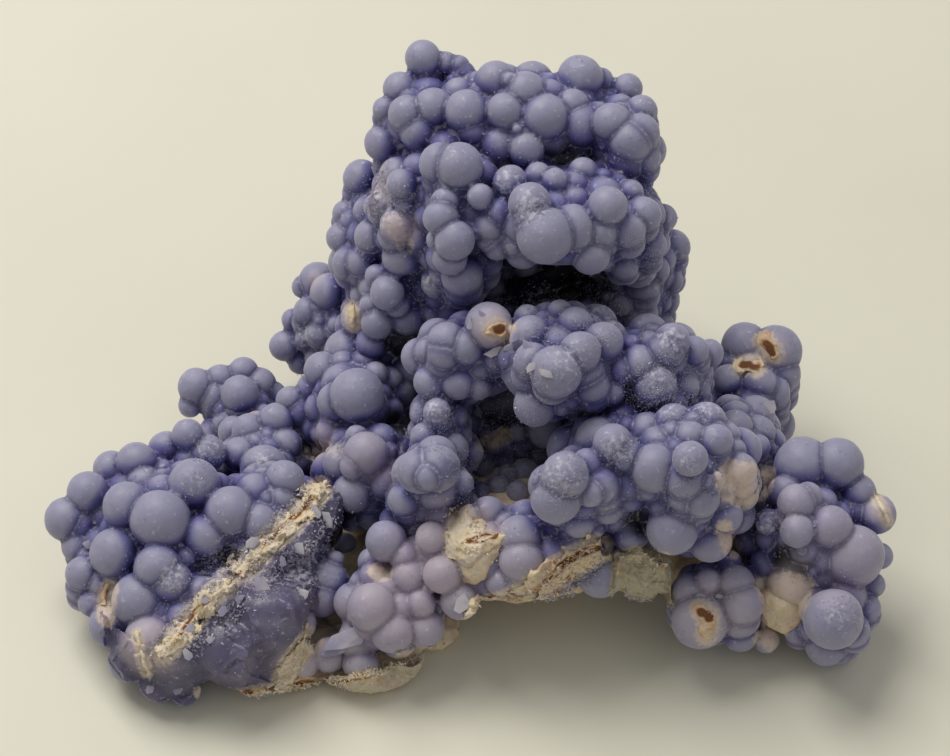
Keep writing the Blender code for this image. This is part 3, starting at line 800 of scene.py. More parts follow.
# Each patch lies over the grapes: its outline or its middle line in the photograph's frame, how
# far it stands up, how lumpy it is and how large its lumps are in millimetres. A tint is colour
# on the grapes alone.
patches = {
    "brokenFace": {
        "area": [
            (102, 612), (112, 626), (140, 640), (172, 655), (202, 628), (237, 594), (264, 564), (298, 530),
            (322, 495), (346, 494), (340, 520), (324, 541), (313, 560), (316, 598), (304, 630), (292, 694),
            (205, 708), (165, 716), (143, 712), (122, 682), (106, 648),
        ],
        "window": 12, "blur": 10, "lift": 0.0, "lumps": 1.1, "lumpSize": 5.5, "grain": 0.05,
        "facets": (20, 0.5), "kind": "purple", "tone": 1.6, "drop": 9.0, "float": 4.5,
    },
    "vein": {
        "line": [(163, 652), (185, 627), (205, 603), (235, 574), (266, 545), (298, 515), (319, 491)],
        "width": 17, "ragged": 9, "window": 8, "blur": 7, "lift": 0.05, "lumps": 0.45, "lumpSize": 1.2,
        "grain": 0.4, "rust": 0.12, "halo": 12,
        "fissures": [
            ([(180, 632), (192, 616), (206, 600)], 4, 0.8),
            ([(266, 543), (285, 525), (300, 511), (312, 498)], 3.4, 0.7),
            ([(228, 584), (240, 572)], 2, 0.3),
        ],
    },
    "bottomLine": {
        "line": [(200, 694), (245, 695), (272, 689), (300, 684), (345, 679)], "width": 7, "window": 4,
        "blur": 5, "lift": 0.35, "rust": 0.6,
        "fissures": [
            ([(222, 694), (230, 694)], 4, 0.4), ([(240, 694), (250, 693)], 4, 0.4),
            ([(268, 689), (276, 687)], 5, 0.5), ([(296, 684), (310, 682)], 4, 0.4),
        ],
    },
    "creamMass": {
        "line": [(312, 638), (300, 652), (287, 672), (282, 684)], "width": 18, "ragged": 7, "lift": 0.3,
        "lumps": 0.5, "lumpSize": 1.2, "grain": 0.25,
    },
    "leftPits": {
        "line": [(109, 588), (107, 602), (106, 618)], "width": 13, "window": 2, "blur": 3, "drop": 0.8,
        "float": 0.5, "lumps": 0.2, "grain": 0.1, "rust": 0.45,
        "fissures": [([(108, 593), (108, 597)], 4.6, 0.5), ([(106, 608), (106, 615)], 4.6, 0.5)],
    },
    "creamSliver": {
        "line": [(137, 634), (141, 652), (147, 673)], "width": 7, "ragged": 2, "window": 2, "blur": 3,
        "drop": 0.8, "float": 0.5, "lift": 0.25, "lumps": 0.2, "grain": 0.1, "rust": 0.05,
    },
    "frontRock": {
        "area": [
            (452, 516), (468, 504), (480, 530), (503, 536), (490, 556), (468, 566), (450, 556), (446, 536),
        ],
        "ragged": 5, "window": 2, "blur": 5, "lift": 0.1, "lumps": 0.6, "lumpSize": 1.6,
        "fissures": [([(470, 541), (482, 538), (495, 535)], 4, 0.5)],
    },
    "crumblyBand": {
        "line": [(478, 612), (505, 606), (530, 594), (556, 574), (576, 560), (597, 549)], "width": 27,
        "ragged": 7, "window": 6, "blur": 7, "lift": 0.5, "lumps": 0.9, "lumpSize": 1.5, "grain": 0.3,
        "rust": 0.3,
        "fissures": [
            ([(525, 597), (545, 585), (560, 566), (585, 552), (600, 548)], 4, 0.9),
            ([(545, 601), (562, 588), (574, 574)], 3, 0.7), ([(505, 606), (530, 603)], 3, 0.4),
        ],
    },
    "quartzBlock": {
        "area": [
            (616, 553), (640, 548), (668, 556), (670, 590), (672, 606), (652, 599), (632, 594), (612, 594),
        ],
        "window": 8, "blur": 8, "lift": 0.9, "lumps": 0.7, "lumpSize": 2.2, "grain": 0.3,
        "facets": (16, 0.5), "rust": 0.0, "khaki": 1.0,
    },
    "grainyRock": {
        "area": [(716, 476), (730, 462), (752, 466), (774, 470), (768, 494), (745, 507), (724, 498)],
        "kind": "tint",
    },
    "rightRock": {
        "area": [
            (756, 582), (790, 574), (812, 582), (806, 604), (790, 626), (772, 650), (756, 640), (768, 606),
        ],
        "kind": "tint",
    },
    "farPit": {
        "line": [(764, 341), (769, 347), (774, 354)], "width": 15, "halo": 9, "rust": 0.5,
        "fissures": [([(766, 344), (770, 349), (773, 353)], 4.6, 0.6)],
    },
    "farCream": {
        "line": [(742, 366), (749, 365), (756, 367)], "width": 14, "halo": 10, "rust": 0.2,
        "fissures": [([(744, 364), (755, 367)], 5, 0.4)],
    },
    "ridgePit": {
        "line": [(494, 330), (499, 329), (505, 331)], "width": 17, "window": 2, "blur": 3, "drop": 0.8,
        "float": 0.5, "lift": 0.3, "rust": 0.45, "fissures": [([(497, 330), (501, 328)], 4.8, 0.9)],
    },
    "footPit": {
        "line": [(701, 610), (709, 617), (706, 634)], "width": 19, "lift": 0.2, "rust": 0.4,
        "fissures": [([(701, 613), (707, 613), (709, 617)], 4.6, 0.8)],
    },
    "creamSlit": {
        "line": [(877, 498), (883, 508), (888, 521)], "width": 7, "ragged": 2, "window": 2, "blur": 3,
        "drop": 0.8, "float": 0.5, "lift": 0.25, "lumps": 0.2, "grain": 0.1, "rust": 0.05,
    },
    "tanTriangle": {
        "line": [(351, 308), (352, 316), (353, 326)], "width": 10, "ragged": 1.5, "window": 2, "blur": 3,
        "drop": 0.8, "float": 0.5, "lift": 0.3, "lumps": 0.2, "grain": 0.15, "rust": 0.3,
    },
    "towerStreak": {
        "line": [(391, 222), (400, 232), (405, 246)], "width": 14, "kind": "tint", "tint": 0.6,
    },
    "peachStreak": {
        "line": [(724, 528), (728, 540), (733, 551)], "width": 11, "kind": "tint",
    },
    "saddleRock": {
        "line": [(310, 452), (324, 447), (338, 452)], "width": 11, "kind": "tint", "tint": 0.6,
    },
    "backBit": {
        "line": [(375, 571), (385, 574)], "width": 10, "kind": "tint",
    },
    "bottomRim": {
        "area": [
            (300, 692), (322, 684), (352, 676), (384, 668), (405, 652), (438, 648), (440, 660), (418, 676),
            (392, 688), (360, 700), (320, 702),
        ],
        "ragged": 4, "window": 12, "blur": 8, "lift": 0.5, "lumps": 0.5, "lumpSize": 2.5, "khaki": 0.6,
        "fissures": [([(330, 684), (372, 674)], 3, 0.4)],
    },
    "frontFlakes": {
        "line": [(470, 618), (500, 617), (520, 622), (545, 626), (570, 616)], "width": 10, "ragged": 5,
        "window": 10, "lift": 0.6, "lumps": 0.5, "lumpSize": 1.6, "rust": 0.05, "khaki": 0.3,
    },
    "backFuzz": {
        "line": [(486, 443), (505, 436)], "width": 12, "ragged": 5, "window": 4, "blur": 5, "lift": 0.0,
        "lumps": 0.4, "grain": 0.3, "rust": 0.3,
    },
}
# What a patch has where it says nothing else.
plainPatch = {
    "width": 0, "ragged": 3, "window": 5, "blur": 6, "lift": 0.15, "lumps": 0.3, "lumpSize": 1.0,
    "grain": 0.2, "facets": (), "kind": "rock", "rust": 0.1, "khaki": 0.0, "halo": 7.0, "tint": 1.0,
    "drop": 1.6, "float": 1.1, "fissures": (),
}
patchGrid = {
    "firstSeed": 31,
    "margin": 8,
    "thick": 1.2,
    "soft": 4.0,
    "buried": 0.35,
    "least": 0.04,
    "lowest": 0.05,
    "skirt": 2.0,
    "through": 1.8,
    "cliffBlur": 1.5,
    "cliffShare": 0.04,
    "knownShare": 0.3,
}
# The ragged edge: size, share and seed of each wave.
patchWaves = ((1.6, 1.0, 0), (0.5, 0.6, 3))
grainNoise = {"size": 0.45, "layers": 2, "seed": 9}
lumpSeed = 5
facetShape = {"stretch": 1.4, "spare": 4, "step": 0.5}
# Splits in the rock, made of strands; one wider than a hole has none.
splits = {
    "long": 14.0,
    "wide": 1.8,
    "layers": 2,
    "seed": 17,
    "strands": 0.75,
    "contrast": 1.3,
    "hole": 4.5,
    "depth": 1.7,
    "flank": 0.75,
    "wander": 0.6,
    "wanderSize": 0.8,
    "wanderSeed": 13,
}
for number, name in enumerate(patches):
    patches[name] = dict(plainPatch, seed=patchGrid["firstSeed"] + number, **patches[name])


# The lowest and highest column and row that a patch reaches, with a margin round it.
def patchBounds(patch, margin):
    corners = np.array(patch.get("area") or patch["line"], float)
    margin = margin + patch["width"]
    return corners.min(axis=0) - margin, corners.max(axis=0) + margin


# How far inside a patch's outline points lie, in steps of the photograph's frame.
def patchEdge(columns, rows, patch):
    if "area" in patch:
        return insideArea(columns, rows, patch["area"])
    return patch["width"] / 2.0 - fromLine(columns, rows, patch["line"])


# How far points lie from a broken line, all in steps of the photograph's frame.
def fromLine(columns, rows, line):
    return lineGrain(columns, rows, line)[0]


# The same, with the place along the line and to its side.
def lineGrain(columns, rows, line):
    nearest = np.full(columns.shape, np.inf)
    along = np.zeros(columns.shape)
    aside = np.zeros(columns.shape)
    done = 0.0
    for (x0, y0), (x1, y1) in zip(line, line[1:]):
        length = math.hypot(x1 - x0, y1 - y0)
        ahead = ((columns - x0) * (x1 - x0) + (rows - y0) * (y1 - y0)) / length
        side = ((rows - y0) * (x1 - x0) - (columns - x0) * (y1 - y0)) / length
        gap = np.hypot(ahead - np.clip(ahead, 0.0, length), side)
        closer = gap < nearest
        nearest = np.where(closer, gap, nearest)
        along = np.where(closer, done + ahead, along)
        aside = np.where(closer, side, aside)
        done += length
    return nearest, along, aside


def insideArea(columns, rows, area):
    inside = np.zeros(columns.shape, bool)
    for (x0, y0), (x1, y1) in zip(area, area[1:] + area[:1]):
        crosses = (y0 > rows) != (y1 > rows)
        inside ^= crosses & (columns < (x1 - x0) * (rows - y0) / (y1 - y0 + 1e-9) + x0)
    gap = fromLine(columns, rows, area + area[:1])
    return np.where(inside, gap, -gap)


# The front of the grapes round each line of sight, smoothed, where they are seen at all.
def frontBehind(seen, top, left, columns, rows, patch):
    part = seen[top : top + rows.shape[0], left : left + columns.shape[1]]
    met = np.isfinite(part)
    front = np.where(met, part, np.inf)
    half = -patch["window"] // 2
    steps = range(half, patch["window"] // 2 + 1, 2)
    for axis in (0, 1):
        front = np.stack([np.roll(front, step, axis) for step in steps]).min(axis=0)
    known = np.isfinite(front)
    sharp = np.where(known, front, sight["farthest"])
    weight = blurred(known.astype(float), patch["blur"] / 2.0)
    front = blurred(np.where(known, front, 0.0), patch["blur"] / 2.0) / np.maximum(weight, 1e-3)
    drop = np.zeros(met.shape)
    for axis in (0, 1):
        for step in (-1, 1):
            drop = np.maximum(drop, np.abs(sharp - np.roll(sharp, step, axis)))
    steep = (drop > patch["drop"]).astype(float)
    cliff = blurred(steep, patchGrid["cliffBlur"]) > patchGrid["cliffShare"]
    level = np.abs(front - sharp) < patch["float"]
    return front, known & (weight > patchGrid["knownShare"]) & met & level & ~cliff


# Flat broken faces, each with its own tilt, of a size in steps and a height in millimetres.
def facets(columns, rows, shape, seed):
    size, tall = shape
    rng = np.random.default_rng(seed)
    count = int(columns.size / size**2) + facetShape["spare"]
    middles = rng.uniform((columns.min(), rows.min()), (columns.max(), rows.max()), (count, 2))
    tilts = rng.uniform(-1.0, 1.0, (count, 3))
    down = (rows[..., None] - middles[:, 1]) * facetShape["stretch"]
    owner = np.hypot(columns[..., None] - middles[:, 0], down).argmin(axis=-1)
    lean = (columns - middles[owner, 0]) * tilts[owner, 0] + (rows - middles[owner, 1]) * tilts[owner, 1]
    return tall * (lean / size + facetShape["step"] * tilts[owner, 2])


def patchShape(name, seen):
    patch = patches[name]
    first, last = patchBounds(patch, patchGrid["margin"])
    left, top = first.astype(int)
    right, low = last.astype(int)
    right, low = min(right, seen.shape[1]), min(low, seen.shape[0])
    columns, rows = np.meshgrid(np.arange(left, right), np.arange(top, low))
    front, met = frontBehind(seen, top, left, columns, rows, patch)
    edge = patchEdge(columns, rows, patch)
    way = sightThrough(columns, rows)
    flat = (eye + way * front[..., None]).reshape(-1, 3)
    seed = patch["seed"]
    wavy = sum(share * latticeNoise(flat, size, seed + more) for size, share, more in patchWaves)
    edge = edge + wavy.reshape(edge.shape) * patch["ragged"]
    rise = eased(edge / patchGrid["soft"])
    lumps = layeredNoise(flat, patch["lumpSize"], seed + lumpSeed).reshape(edge.shape)
    grain = layeredNoise(flat, grainNoise["size"], seed + grainNoise["seed"], grainNoise["layers"])
    grain = grain.reshape(edge.shape)
    height = patch["lift"] + patch["lumps"] * lumps + patch["grain"] * grain
    if patch["facets"]:
        height = height + facets(columns, rows, patch["facets"], seed)
    fissure = np.zeros(edge.shape)
    wander = latticeNoise(flat, splits["wanderSize"], seed + splits["wanderSeed"]).reshape(edge.shape)
    for line, width, depth in patch["fissures"]:
        gap, along, aside = lineGrain(columns, rows, line)
        fibres = np.stack([along / splits["long"], aside / splits["wide"], along * 0.0], axis=-1)
        split = layeredNoise(fibres.reshape(-1, 3), 1.0, seed + splits["seed"], splits["layers"])
        strands = eased(splits["strands"] + splits["contrast"] * split.reshape(edge.shape))
        if width > splits["hole"]:
            strands = 1.0
        cut = splits["depth"] - gap / (width * splits["flank"]) + splits["wander"] * wander
        cut = eased(cut) * strands
        fissure = np.maximum(fissure, cut)
        height = height - depth * cut
    height = np.maximum(height, patchGrid["least"]) * rise - patchGrid["buried"] * (1.0 - rise)
    keep = (edge > -patchGrid["skirt"]) & met
    return columns, rows, front, height, keep, fissure, way


# A closed crust over the kept cells of a grid: its front, a back inside the grapes and its rim.
def closedSheet(front, back, keep):
    height, width = keep.shape
    number = np.arange(height * width).reshape(height, width)
    cells = keep[:-1, :-1] & keep[1:, :-1] & keep[1:, 1:] & keep[:-1, 1:]
    for turn in range(3):
        cells = withoutPinches(cells)
    corners = [number[:-1, :-1], number[1:, :-1], number[1:, 1:], number[:-1, 1:]]
    faces = np.stack([corner[cells] for corner in corners], axis=1)
    whole = height * width
    edges = {(a, b) for face in faces.tolist() for a, b in zip(face, face[1:] + face[:1])}
    rim = [(b, a, a + whole, b + whole) for a, b in edges if (b, a) not in edges]
    allFaces = faces.tolist() + (faces[:, ::-1] + whole).tolist() + sorted(rim)
    vertices = np.vstack([front.reshape(-1, 3), back.reshape(-1, 3)])
    used = np.zeros(2 * whole, bool)
    used[np.unique(np.concatenate([np.ravel(face) for face in allFaces]))] = True
    renumber = np.cumsum(used) - 1
    return vertices[used], [[int(renumber[i]) for i in face] for face in allFaces], used


# Drop cells that touch another only at a corner.
def withoutPinches(cells):
    a, b, c, d = cells[:-1, :-1], cells[:-1, 1:], cells[1:, :-1], cells[1:, 1:]
    first = a & d & ~b & ~c
    second = b & c & ~a & ~d
    out = cells.copy()
    out[:-1, :-1] &= ~first
    out[:-1, 1:] &= ~second
    return out


def patchPieces(seen, crowds, purple, stone):
    for name, patch in patches.items():
        if patch["kind"] == "tint":
            continue
        columns, rows, front, height, keep, fissure, way = patchShape(name, seen)
        top = eye + way * (front - height)[..., None]
        back = eye + way * (front + patchGrid["thick"])[..., None]
        low = keep & (np.minimum(back, top)[..., 2] > patchGrid["lowest"])
        vertices, faces, used = closedSheet(top, back, low)
        part = seen[rows[0, 0] : rows[-1, 0] + 1, columns[0, 0] : columns[0, -1] + 1]
        np.minimum(part, np.where(low, front - height, np.inf), out=part)
        obj = meshObject(name, vertices.tolist(), faces)
        if patch["kind"] == "purple":
            floatAttribute(obj.data, "tone", np.full(len(vertices), patch["tone"]))
            floatAttribute(obj.data, "crease", np.zeros(len(vertices)))
            addShares(obj.data, vertices, cornerArray(obj.data, "normal"), crowds, seen)
            dressed(obj, purple, "chalcedony_crust", "chalcedony")
        else:
            twice = np.concatenate([fissure.ravel(), fissure.ravel()])[used]
            floatAttribute(obj.data, "fissure", twice)
            floatAttribute(obj.data, "rust", np.full(len(vertices), patch["rust"]))
            floatAttribute(obj.data, "khaki", np.full(len(vertices), patch["khaki"]))
            floatAttribute(obj.data, "shade", np.zeros(len(vertices)))
            dressed(obj, stone, "matrix", "host_rock")
        intoFrame(obj, vertices)


# Chips of clear and white quartz: column, row, length and width in steps, turn in degrees,
# how far each stands up in millimetres.
chips = [
    (190, 628, 16, 12, 40, 0.5), (188, 655, 15, 11, 100, 0.4), (210, 640, 12, 9, 10, 0.4),
    (222, 612, 14, 10, 60, 0.5), (262, 588, 26, 17, 115, 0.7), (303, 595, 17, 14, 20, 0.6),
    (253, 543, 16, 13, 0, 0.6), (88, 545, 10, 14, 70, 0.4), (346, 640, 44, 20, 20, 1.0),
    (332, 652, 34, 12, 15, 0.9), (770, 408, 18, 15, 10, 0.3), (316, 512, 22, 10, 125, 0.4),
    (328, 520, 20, 10, 120, 0.3), (300, 548, 16, 10, 110, 0.4), (282, 562, 14, 10, 90, 0.4),
    (240, 600, 13, 8, 50, 0.3), (496, 352, 22, 10, 10, 0.6), (515, 336, 16, 10, 60, 0.5),
    (527, 346, 19, 9, 120, 0.5), (533, 366, 20, 9, 30, 0.5), (470, 325, 14, 6, 80, 0.3),
    (510, 347, 14, 8, 20, 0.5), (546, 373, 18, 8, 150, 0.4), (482, 314, 12, 6, 140, 0.3),
    (178, 690, 16, 12, 45, 0.2),
    (375, 172, 20, 6, 110, 0.3), (383, 186, 18, 6, 95, 0.3), (370, 200, 16, 5, 70, 0.2),
    (700, 596, 16, 6, 10, 0.3), (722, 597, 16, 5, 170, 0.3), (462, 603, 24, 18, 80, 0.6),
    (205, 600, 12, 7, 30, 0.4), (150, 690, 14, 9, 60, 0.3), (160, 703, 16, 8, 10, 0.3),
]


chipShape = {
    "corners": 6, "turn": 0.35, "out": (0.65, 1.15), "front": (0.1, 0.5), "back": (0.8, 1.4), "seed": 17,
}


def chipPieces(seen, finish):
    rng = np.random.default_rng(chipShape["seed"])
    bm = bmesh.new()
    for column, row, length, width, turn, rise in chips:
        reach = seen[row, column]
        if not np.isfinite(reach):
            continue
        half = spanAt(0.5, reach)
        angle = math.radians(turn)
        across = np.array([1.0, 0.0, 0.0])
        long = across * math.cos(angle) + viewUp * math.sin(angle)
        side = -across * math.sin(angle) + viewUp * math.cos(angle)
        middle = eye + sightThrough(column, row) * (reach - rise * 0.5)
        corners = []
        for step in range(chipShape["corners"]):
            turned = step + rng.uniform(-chipShape["turn"], chipShape["turn"])
            way = 2.0 * math.pi * turned / chipShape["corners"]
            out = rng.uniform(*chipShape["out"])
            place = middle + long * math.cos(way) * length * half * out
            place = place + side * math.sin(way) * width * half * out
            corners.append(bm.verts.new(place - forward * rise * rng.uniform(*chipShape["front"])))
            corners.append(bm.verts.new(place + forward * rise * rng.uniform(*chipShape["back"])))
        hull = bmesh.ops.convex_hull(bm, input=corners)
        spare = hull["geom_interior"] + hull["geom_unused"]
        spare = {item for item in spare if isinstance(item, bmesh.types.BMVert)}
        bmesh.ops.delete(bm, geom=list(spare), context="VERTS")
    obj = meshObject("quartzChips", [], [])
    bmesh.ops.recalc_face_normals(bm, faces=bm.faces)
    bm.to_mesh(obj.data)
    bm.free()
    intoFrame(obj, cornerArray(obj.data, "co"))
    obj.data.shade_flat()
    dressed(obj, finish, "chalcedony_crust", "chalcedony")


def newMaterial(name):
    mat = bpy.data.materials.new(name)
    mat.use_nodes = True
    return mat, mat.node_tree, mat.node_tree.nodes["Principled BSDF"]


def fitted(shader, look):
    for name, value in look.items():
        shader.inputs[name].default_value = value


# Chalcedony, microscopic quartz grown in rounded layers: waxy, frosted and lit from within. Its colour
# holds
# painted light and shade: paler where it stands out, deep violet where it is crowded and beside creases,
# near-black in caves and hollows, with a painted highlight along each crease. Lengths are in metres.
grapeLook = {
    "stands": "#9796ad",
    "body": "#6d6c9f",
    "shadedDeep": "#35326c",
    "caveShade": "#090716",
    "seamHighlight": "#c3c0d4",
    "frost": "#cfcdd9",
    "chalk": "#c9b7ba",
    "ring": "#d6c4b2",
    "cloudSize": 3.0 * mm,
    "speckSize": 0.67 * mm,
    "toneShare": 0.14,
    "ringShare": 0.6,
    "frostShare": 0.22,
    "bump": {"Strength": 0.28, "Distance": 0.2 * mm},
    "shader": {
        "Roughness": 0.5,
        "IOR": 1.54,
        "Specular IOR Level": 0.4,
        "Subsurface Weight": 0.7,
        "Subsurface Radius": (0.9, 0.8, 1.5),
        "Subsurface Scale": 0.002,
        "Sheen Weight": 0.9,
        "Sheen Roughness": 0.2,
        "Sheen Tint": linear("#c9c6e0"),
    },
}


# Each layer: what it follows, from, to, how strong it gets and its colour.
grapeLayers = [
    # Paler where open and deep violet where crowded: painted light and shade, with a random tone.
    ("toneAndShade", 0.36, 0.5, 1.0, "body"),
    ("toneAndShade", 0.5, 0.69, 1.0, "shadedDeep"),
    # Deep violet beside each crease: painted shade.
    ("crease", 0.02, 0.3, 0.5, "shadedDeep"),
    # Near-black in caves and the hollows: painted shade.
    ("wide", 0.54, 0.68, 1.0, "caveShade"),
    ("sunk", 0.0, 0.55, 1.0, "caveShade"),
    ("chalk", 0.0, 1.0, 0.85, "chalk"),
    ("ringed", 0.7, 1.1, 0.85, "ring"),
    # A pale line along each crease: painted highlight.
    ("crease", 0.55, 0.95, 0.6, "seamHighlight"),
    ("grains", 0.62, 0.82, 0.75, "frost"),
    ("cloud", 0.5, 0.75, 0.14, "frost"),
]


# Lay the colours over one another, each by its own share.
def layered(tree, colour, layers, sources, colours):
    for source, low, high, most, name in layers:
        share = addNode(tree, "ShaderNodeMapRange", {
            "Value": sources[source], "From Min": low, "From Max": high, "To Max": most,
        })["Result"]
        mixed = {"Factor": share, "A": colour, "B": colours[name]}
        colour = addNode(tree, "ShaderNodeMix", mixed, data_type="RGBA")["Result"]
    return colour


def readAttributes(tree, names):
    return {name: addNode(tree, "ShaderNodeAttribute", attribute_name=name)["Fac"] for name in names}


# Where it is broken rather than grown it is smokier and glassier.
brokenLook = dict(grapeLook, stands="#645f79", body="#4c4764", shadedDeep="#363150", caveShade="#151220")
brokenLook["shader"] = dict(grapeLook["shader"], Roughness=0.32)


def grapeMaterial(name, look):
    mat, tree, shader = newMaterial(name)
    fitted(shader, look["shader"])
    names = ("tone", "near", "wide", "crease", "shade", "chalk", "frost", "halo")
    sources = readAttributes(tree, names)
    place = addNode(tree, "ShaderNodeTexCoord")["Object"]
    clouds = {"Vector": place, "Scale": 1.0 / look["cloudSize"], "Detail": 3.0}
    specks = {"Vector": place, "Scale": 1.0 / look["speckSize"], "Detail": 3.0}
    cloud = addNode(tree, "ShaderNodeTexNoise", clouds)["Fac"]
    speck = addNode(tree, "ShaderNodeTexNoise", specks)["Fac"]
    near = {"Value": sources["near"], "From Min": 0.2, "From Max": 0.45}
    inside = addNode(tree, "ShaderNodeMapRange", near)
    sums = {
        # Tone with crowding: the crowded part is painted shade.
        "toneAndShade": ("MULTIPLY_ADD", sources["tone"], look["toneShare"], sources["near"]),
        # The hollows' painted shade, where the grapes are crowded.
        "sunk": ("MULTIPLY", sources["shade"], inside["Result"], 0.0),
        "ringed": ("MULTIPLY_ADD", sources["halo"], look["ringShare"], speck),
        "grains": ("MULTIPLY_ADD", sources["frost"], look["frostShare"], speck),
    }
    for name, (operation, *terms) in sums.items():
        terms = dict(enumerate(terms))
        sources[name] = addNode(tree, "ShaderNodeMath", terms, operation=operation)[0]
    sources["cloud"] = cloud
    colour = layered(tree, look["stands"], grapeLayers, sources, look)
    tree.links.new(colour, shader.inputs["Base Color"])
    bump = addNode(tree, "ShaderNodeBump", dict(look["bump"], Height=speck))["Normal"]
    tree.links.new(bump, shader.inputs["Normal"])
    return mat


# Weathered silica rock: dry cream grains, rusty where iron has stained it, brown in its splits, and
# darkened with painted shade in the hollows.
rockLook = {
    "cream": "#dbc8a6",
    "pale": "#efe7d8",
    "rust": "#bd8850",
    "split": "#6e4323",
    "khaki": "#b3aa90",
    "pocketShade": "#17110f",
    "cloudSize": 2.0 * mm,
    "grainSize": 0.45 * mm,
    "rustShare": 0.5,
    "bump": {"Strength": 0.5, "Distance": 0.2 * mm},
    "shader": {"Roughness": 0.8, "Subsurface Weight": 0.15, "Subsurface Radius": (1.0, 0.8, 0.6),
               "Subsurface Scale": 0.0006},
}


rockLayers = [
    ("cloud", 0.4, 0.65, 1.0, "pale"),
    ("khaki", 0.0, 1.0, 1.0, "khaki"),
    ("rusty", 0.56, 0.92, 0.9, "rust"),
    ("grain", 0.5, 0.72, 0.35, "pale"),
    ("fissure", 0.05, 0.5, 0.8, "rust"),
    ("fissure", 0.5, 0.95, 1.0, "split"),
    # Near-black in the hollows: painted shade.
    ("shade", 0.1, 0.7, 0.95, "pocketShade"),
]


def rockMaterial():
    mat, tree, shader = newMaterial("creamHostRock")
    fitted(shader, rockLook["shader"])
    sources = readAttributes(tree, ("rust", "khaki", "fissure", "shade"))
    place = addNode(tree, "ShaderNodeTexCoord")["Object"]
    clouds = {"Vector": place, "Scale": 1.0 / rockLook["cloudSize"], "Detail": 4.0}
    specks = {"Vector": place, "Scale": 1.0 / rockLook["grainSize"], "Detail": 3.0}
    cloud = addNode(tree, "ShaderNodeTexNoise", clouds)["Fac"]
    grain = addNode(tree, "ShaderNodeTexNoise", specks)["Fac"]
    rusty = {0: sources["rust"], 1: rockLook["rustShare"], 2: cloud}
    sources["rusty"] = addNode(tree, "ShaderNodeMath", rusty, operation="MULTIPLY_ADD")[0]
    sources.update({"cloud": cloud, "grain": grain})
    colour = layered(tree, rockLook["cream"], rockLayers, sources, rockLook)
    tree.links.new(colour, shader.inputs["Base Color"])
    bump = addNode(tree, "ShaderNodeBump", dict(rockLook["bump"], Height=grain))["Normal"]
    tree.links.new(bump, shader.inputs["Normal"])
    return mat


# Clear to milky quartz, broken to glassy faces: it shines and lets light in.
chipLook = {
    "plain": "#b9b4cf",
    "clouded": "#e6e2ea",
    "cloud": {"size": 3.8 * mm, "detail": 3.0, "from": 0.4, "to": 0.62},
    "shader": {"Roughness": 0.18, "IOR": 1.54, "Transmission Weight": 0.35, "Subsurface Weight": 0.3,
               "Subsurface Radius": (1.0, 1.0, 1.2), "Subsurface Scale": 0.001},
}


# One colour with clouds of another.
def cloudedMaterial(name, look):
    mat, tree, shader = newMaterial(name)
    fitted(shader, look["shader"])
    cloud = look["cloud"]
    place = addNode(tree, "ShaderNodeTexCoord")["Object"]
    clouds = {"Vector": place, "Scale": 1.0 / cloud["size"], "Detail": cloud["detail"]}
    sources = {"cloud": addNode(tree, "ShaderNodeTexNoise", clouds)["Fac"]}
    layers = [("cloud", cloud["from"], cloud["to"], 1.0, "clouded")]
    colour = layered(tree, look["plain"], layers, sources, look)
    tree.links.new(colour, shader.inputs["Base Color"])
    return mat


# A fine sparkling crust of quartz points where the grapes are frosted and in the hollows.
druse = {
    "count": 9000,
    "scattered": 7000,
    "smallest": 0.09,
    "largest": 0.22,
    "shape": {"Vertices": 4, "Radius Bottom": 0.5, "Depth": 1.4},
    "across": (40.0, 900.0),
    "down": (30.0, 700.0),
    "lowest": 0.7,
    "seed": 23,
    "plain": "#8f8ab5",
    "clouded": "#dcdae6",
    "cloud": {"size": 1.4 * mm, "detail": 2.0, "from": 0.0, "to": 1.0},
    "shader": {"Roughness": 0.12, "IOR": 1.54, "Transmission Weight": 0.2},
    "hollows": [
        (505, 455, 40), (470, 480, 26), (520, 470, 22), (600, 315, 34), (655, 385, 36), (395, 205, 24),
        (640, 250, 22), (345, 340, 18), (510, 395, 40), (430, 430, 22), (690, 500, 24), (540, 335, 20),
    ],
}


# Coarse grains along lines: places in the photograph's frame, width in steps.
grains = {
    "quartzSugar": {
        "lines": [
            ([(196, 648), (222, 624), (252, 598), (284, 570), (310, 547), (334, 512)], 22),
            ([(150, 650), (192, 604), (252, 546), (306, 488)], 9),
            ([(210, 698), (272, 700), (345, 690)], 8),
            ([(510, 618), (556, 598), (606, 562)], 16),
            ([(612, 594), (672, 606)], 10),
            ([(692, 598), (735, 598)], 6),
            ([(366, 212), (376, 190), (388, 166)], 10),
        ],
        "perStep": 2.6, "smallest": 0.16, "largest": 0.42, "seed": 29,
        "owner": ("chalcedony_crust", "chalcedony"),
    },
    "rockGrains": {
        "lines": [
            ([(160, 655), (205, 604), (266, 546), (319, 491)], 19),
            ([(478, 612), (530, 596), (597, 550)], 24),
            ([(312, 638), (282, 684)], 18),
            ([(455, 512), (468, 540), (492, 548)], 34),
            ([(250, 694), (345, 680), (430, 655)], 9),
            ([(620, 556), (668, 560)], 12),
        ],
        "perStep": 3.0, "smallest": 0.14, "largest": 0.42, "seed": 37,
        "owner": ("matrix", "host_rock"),
    },
}


def grainCrystals(name, seen, finish):
    kind = grains[name]
    rng = np.random.default_rng(kind["seed"])
    columns = []
    rows = []
    for line, width in kind["lines"]:
        for (x0, y0), (x1, y1) in zip(line, line[1:]):
            count = int(math.hypot(x1 - x0, y1 - y0) * kind["perStep"])
            share = rng.uniform(0.0, 1.0, count)
            columns.append(x0 + (x1 - x0) * share + rng.normal(0.0, width / 4.0, count))
            rows.append(y0 + (y1 - y0) * share + rng.normal(0.0, width / 4.0, count))
    columns = np.concatenate(columns)
    rows = np.concatenate(rows)
    sizes = rng.uniform(kind["smallest"], kind["largest"], len(columns))
    crystals(name, columns, rows, sizes, seen, finish, kind["owner"])


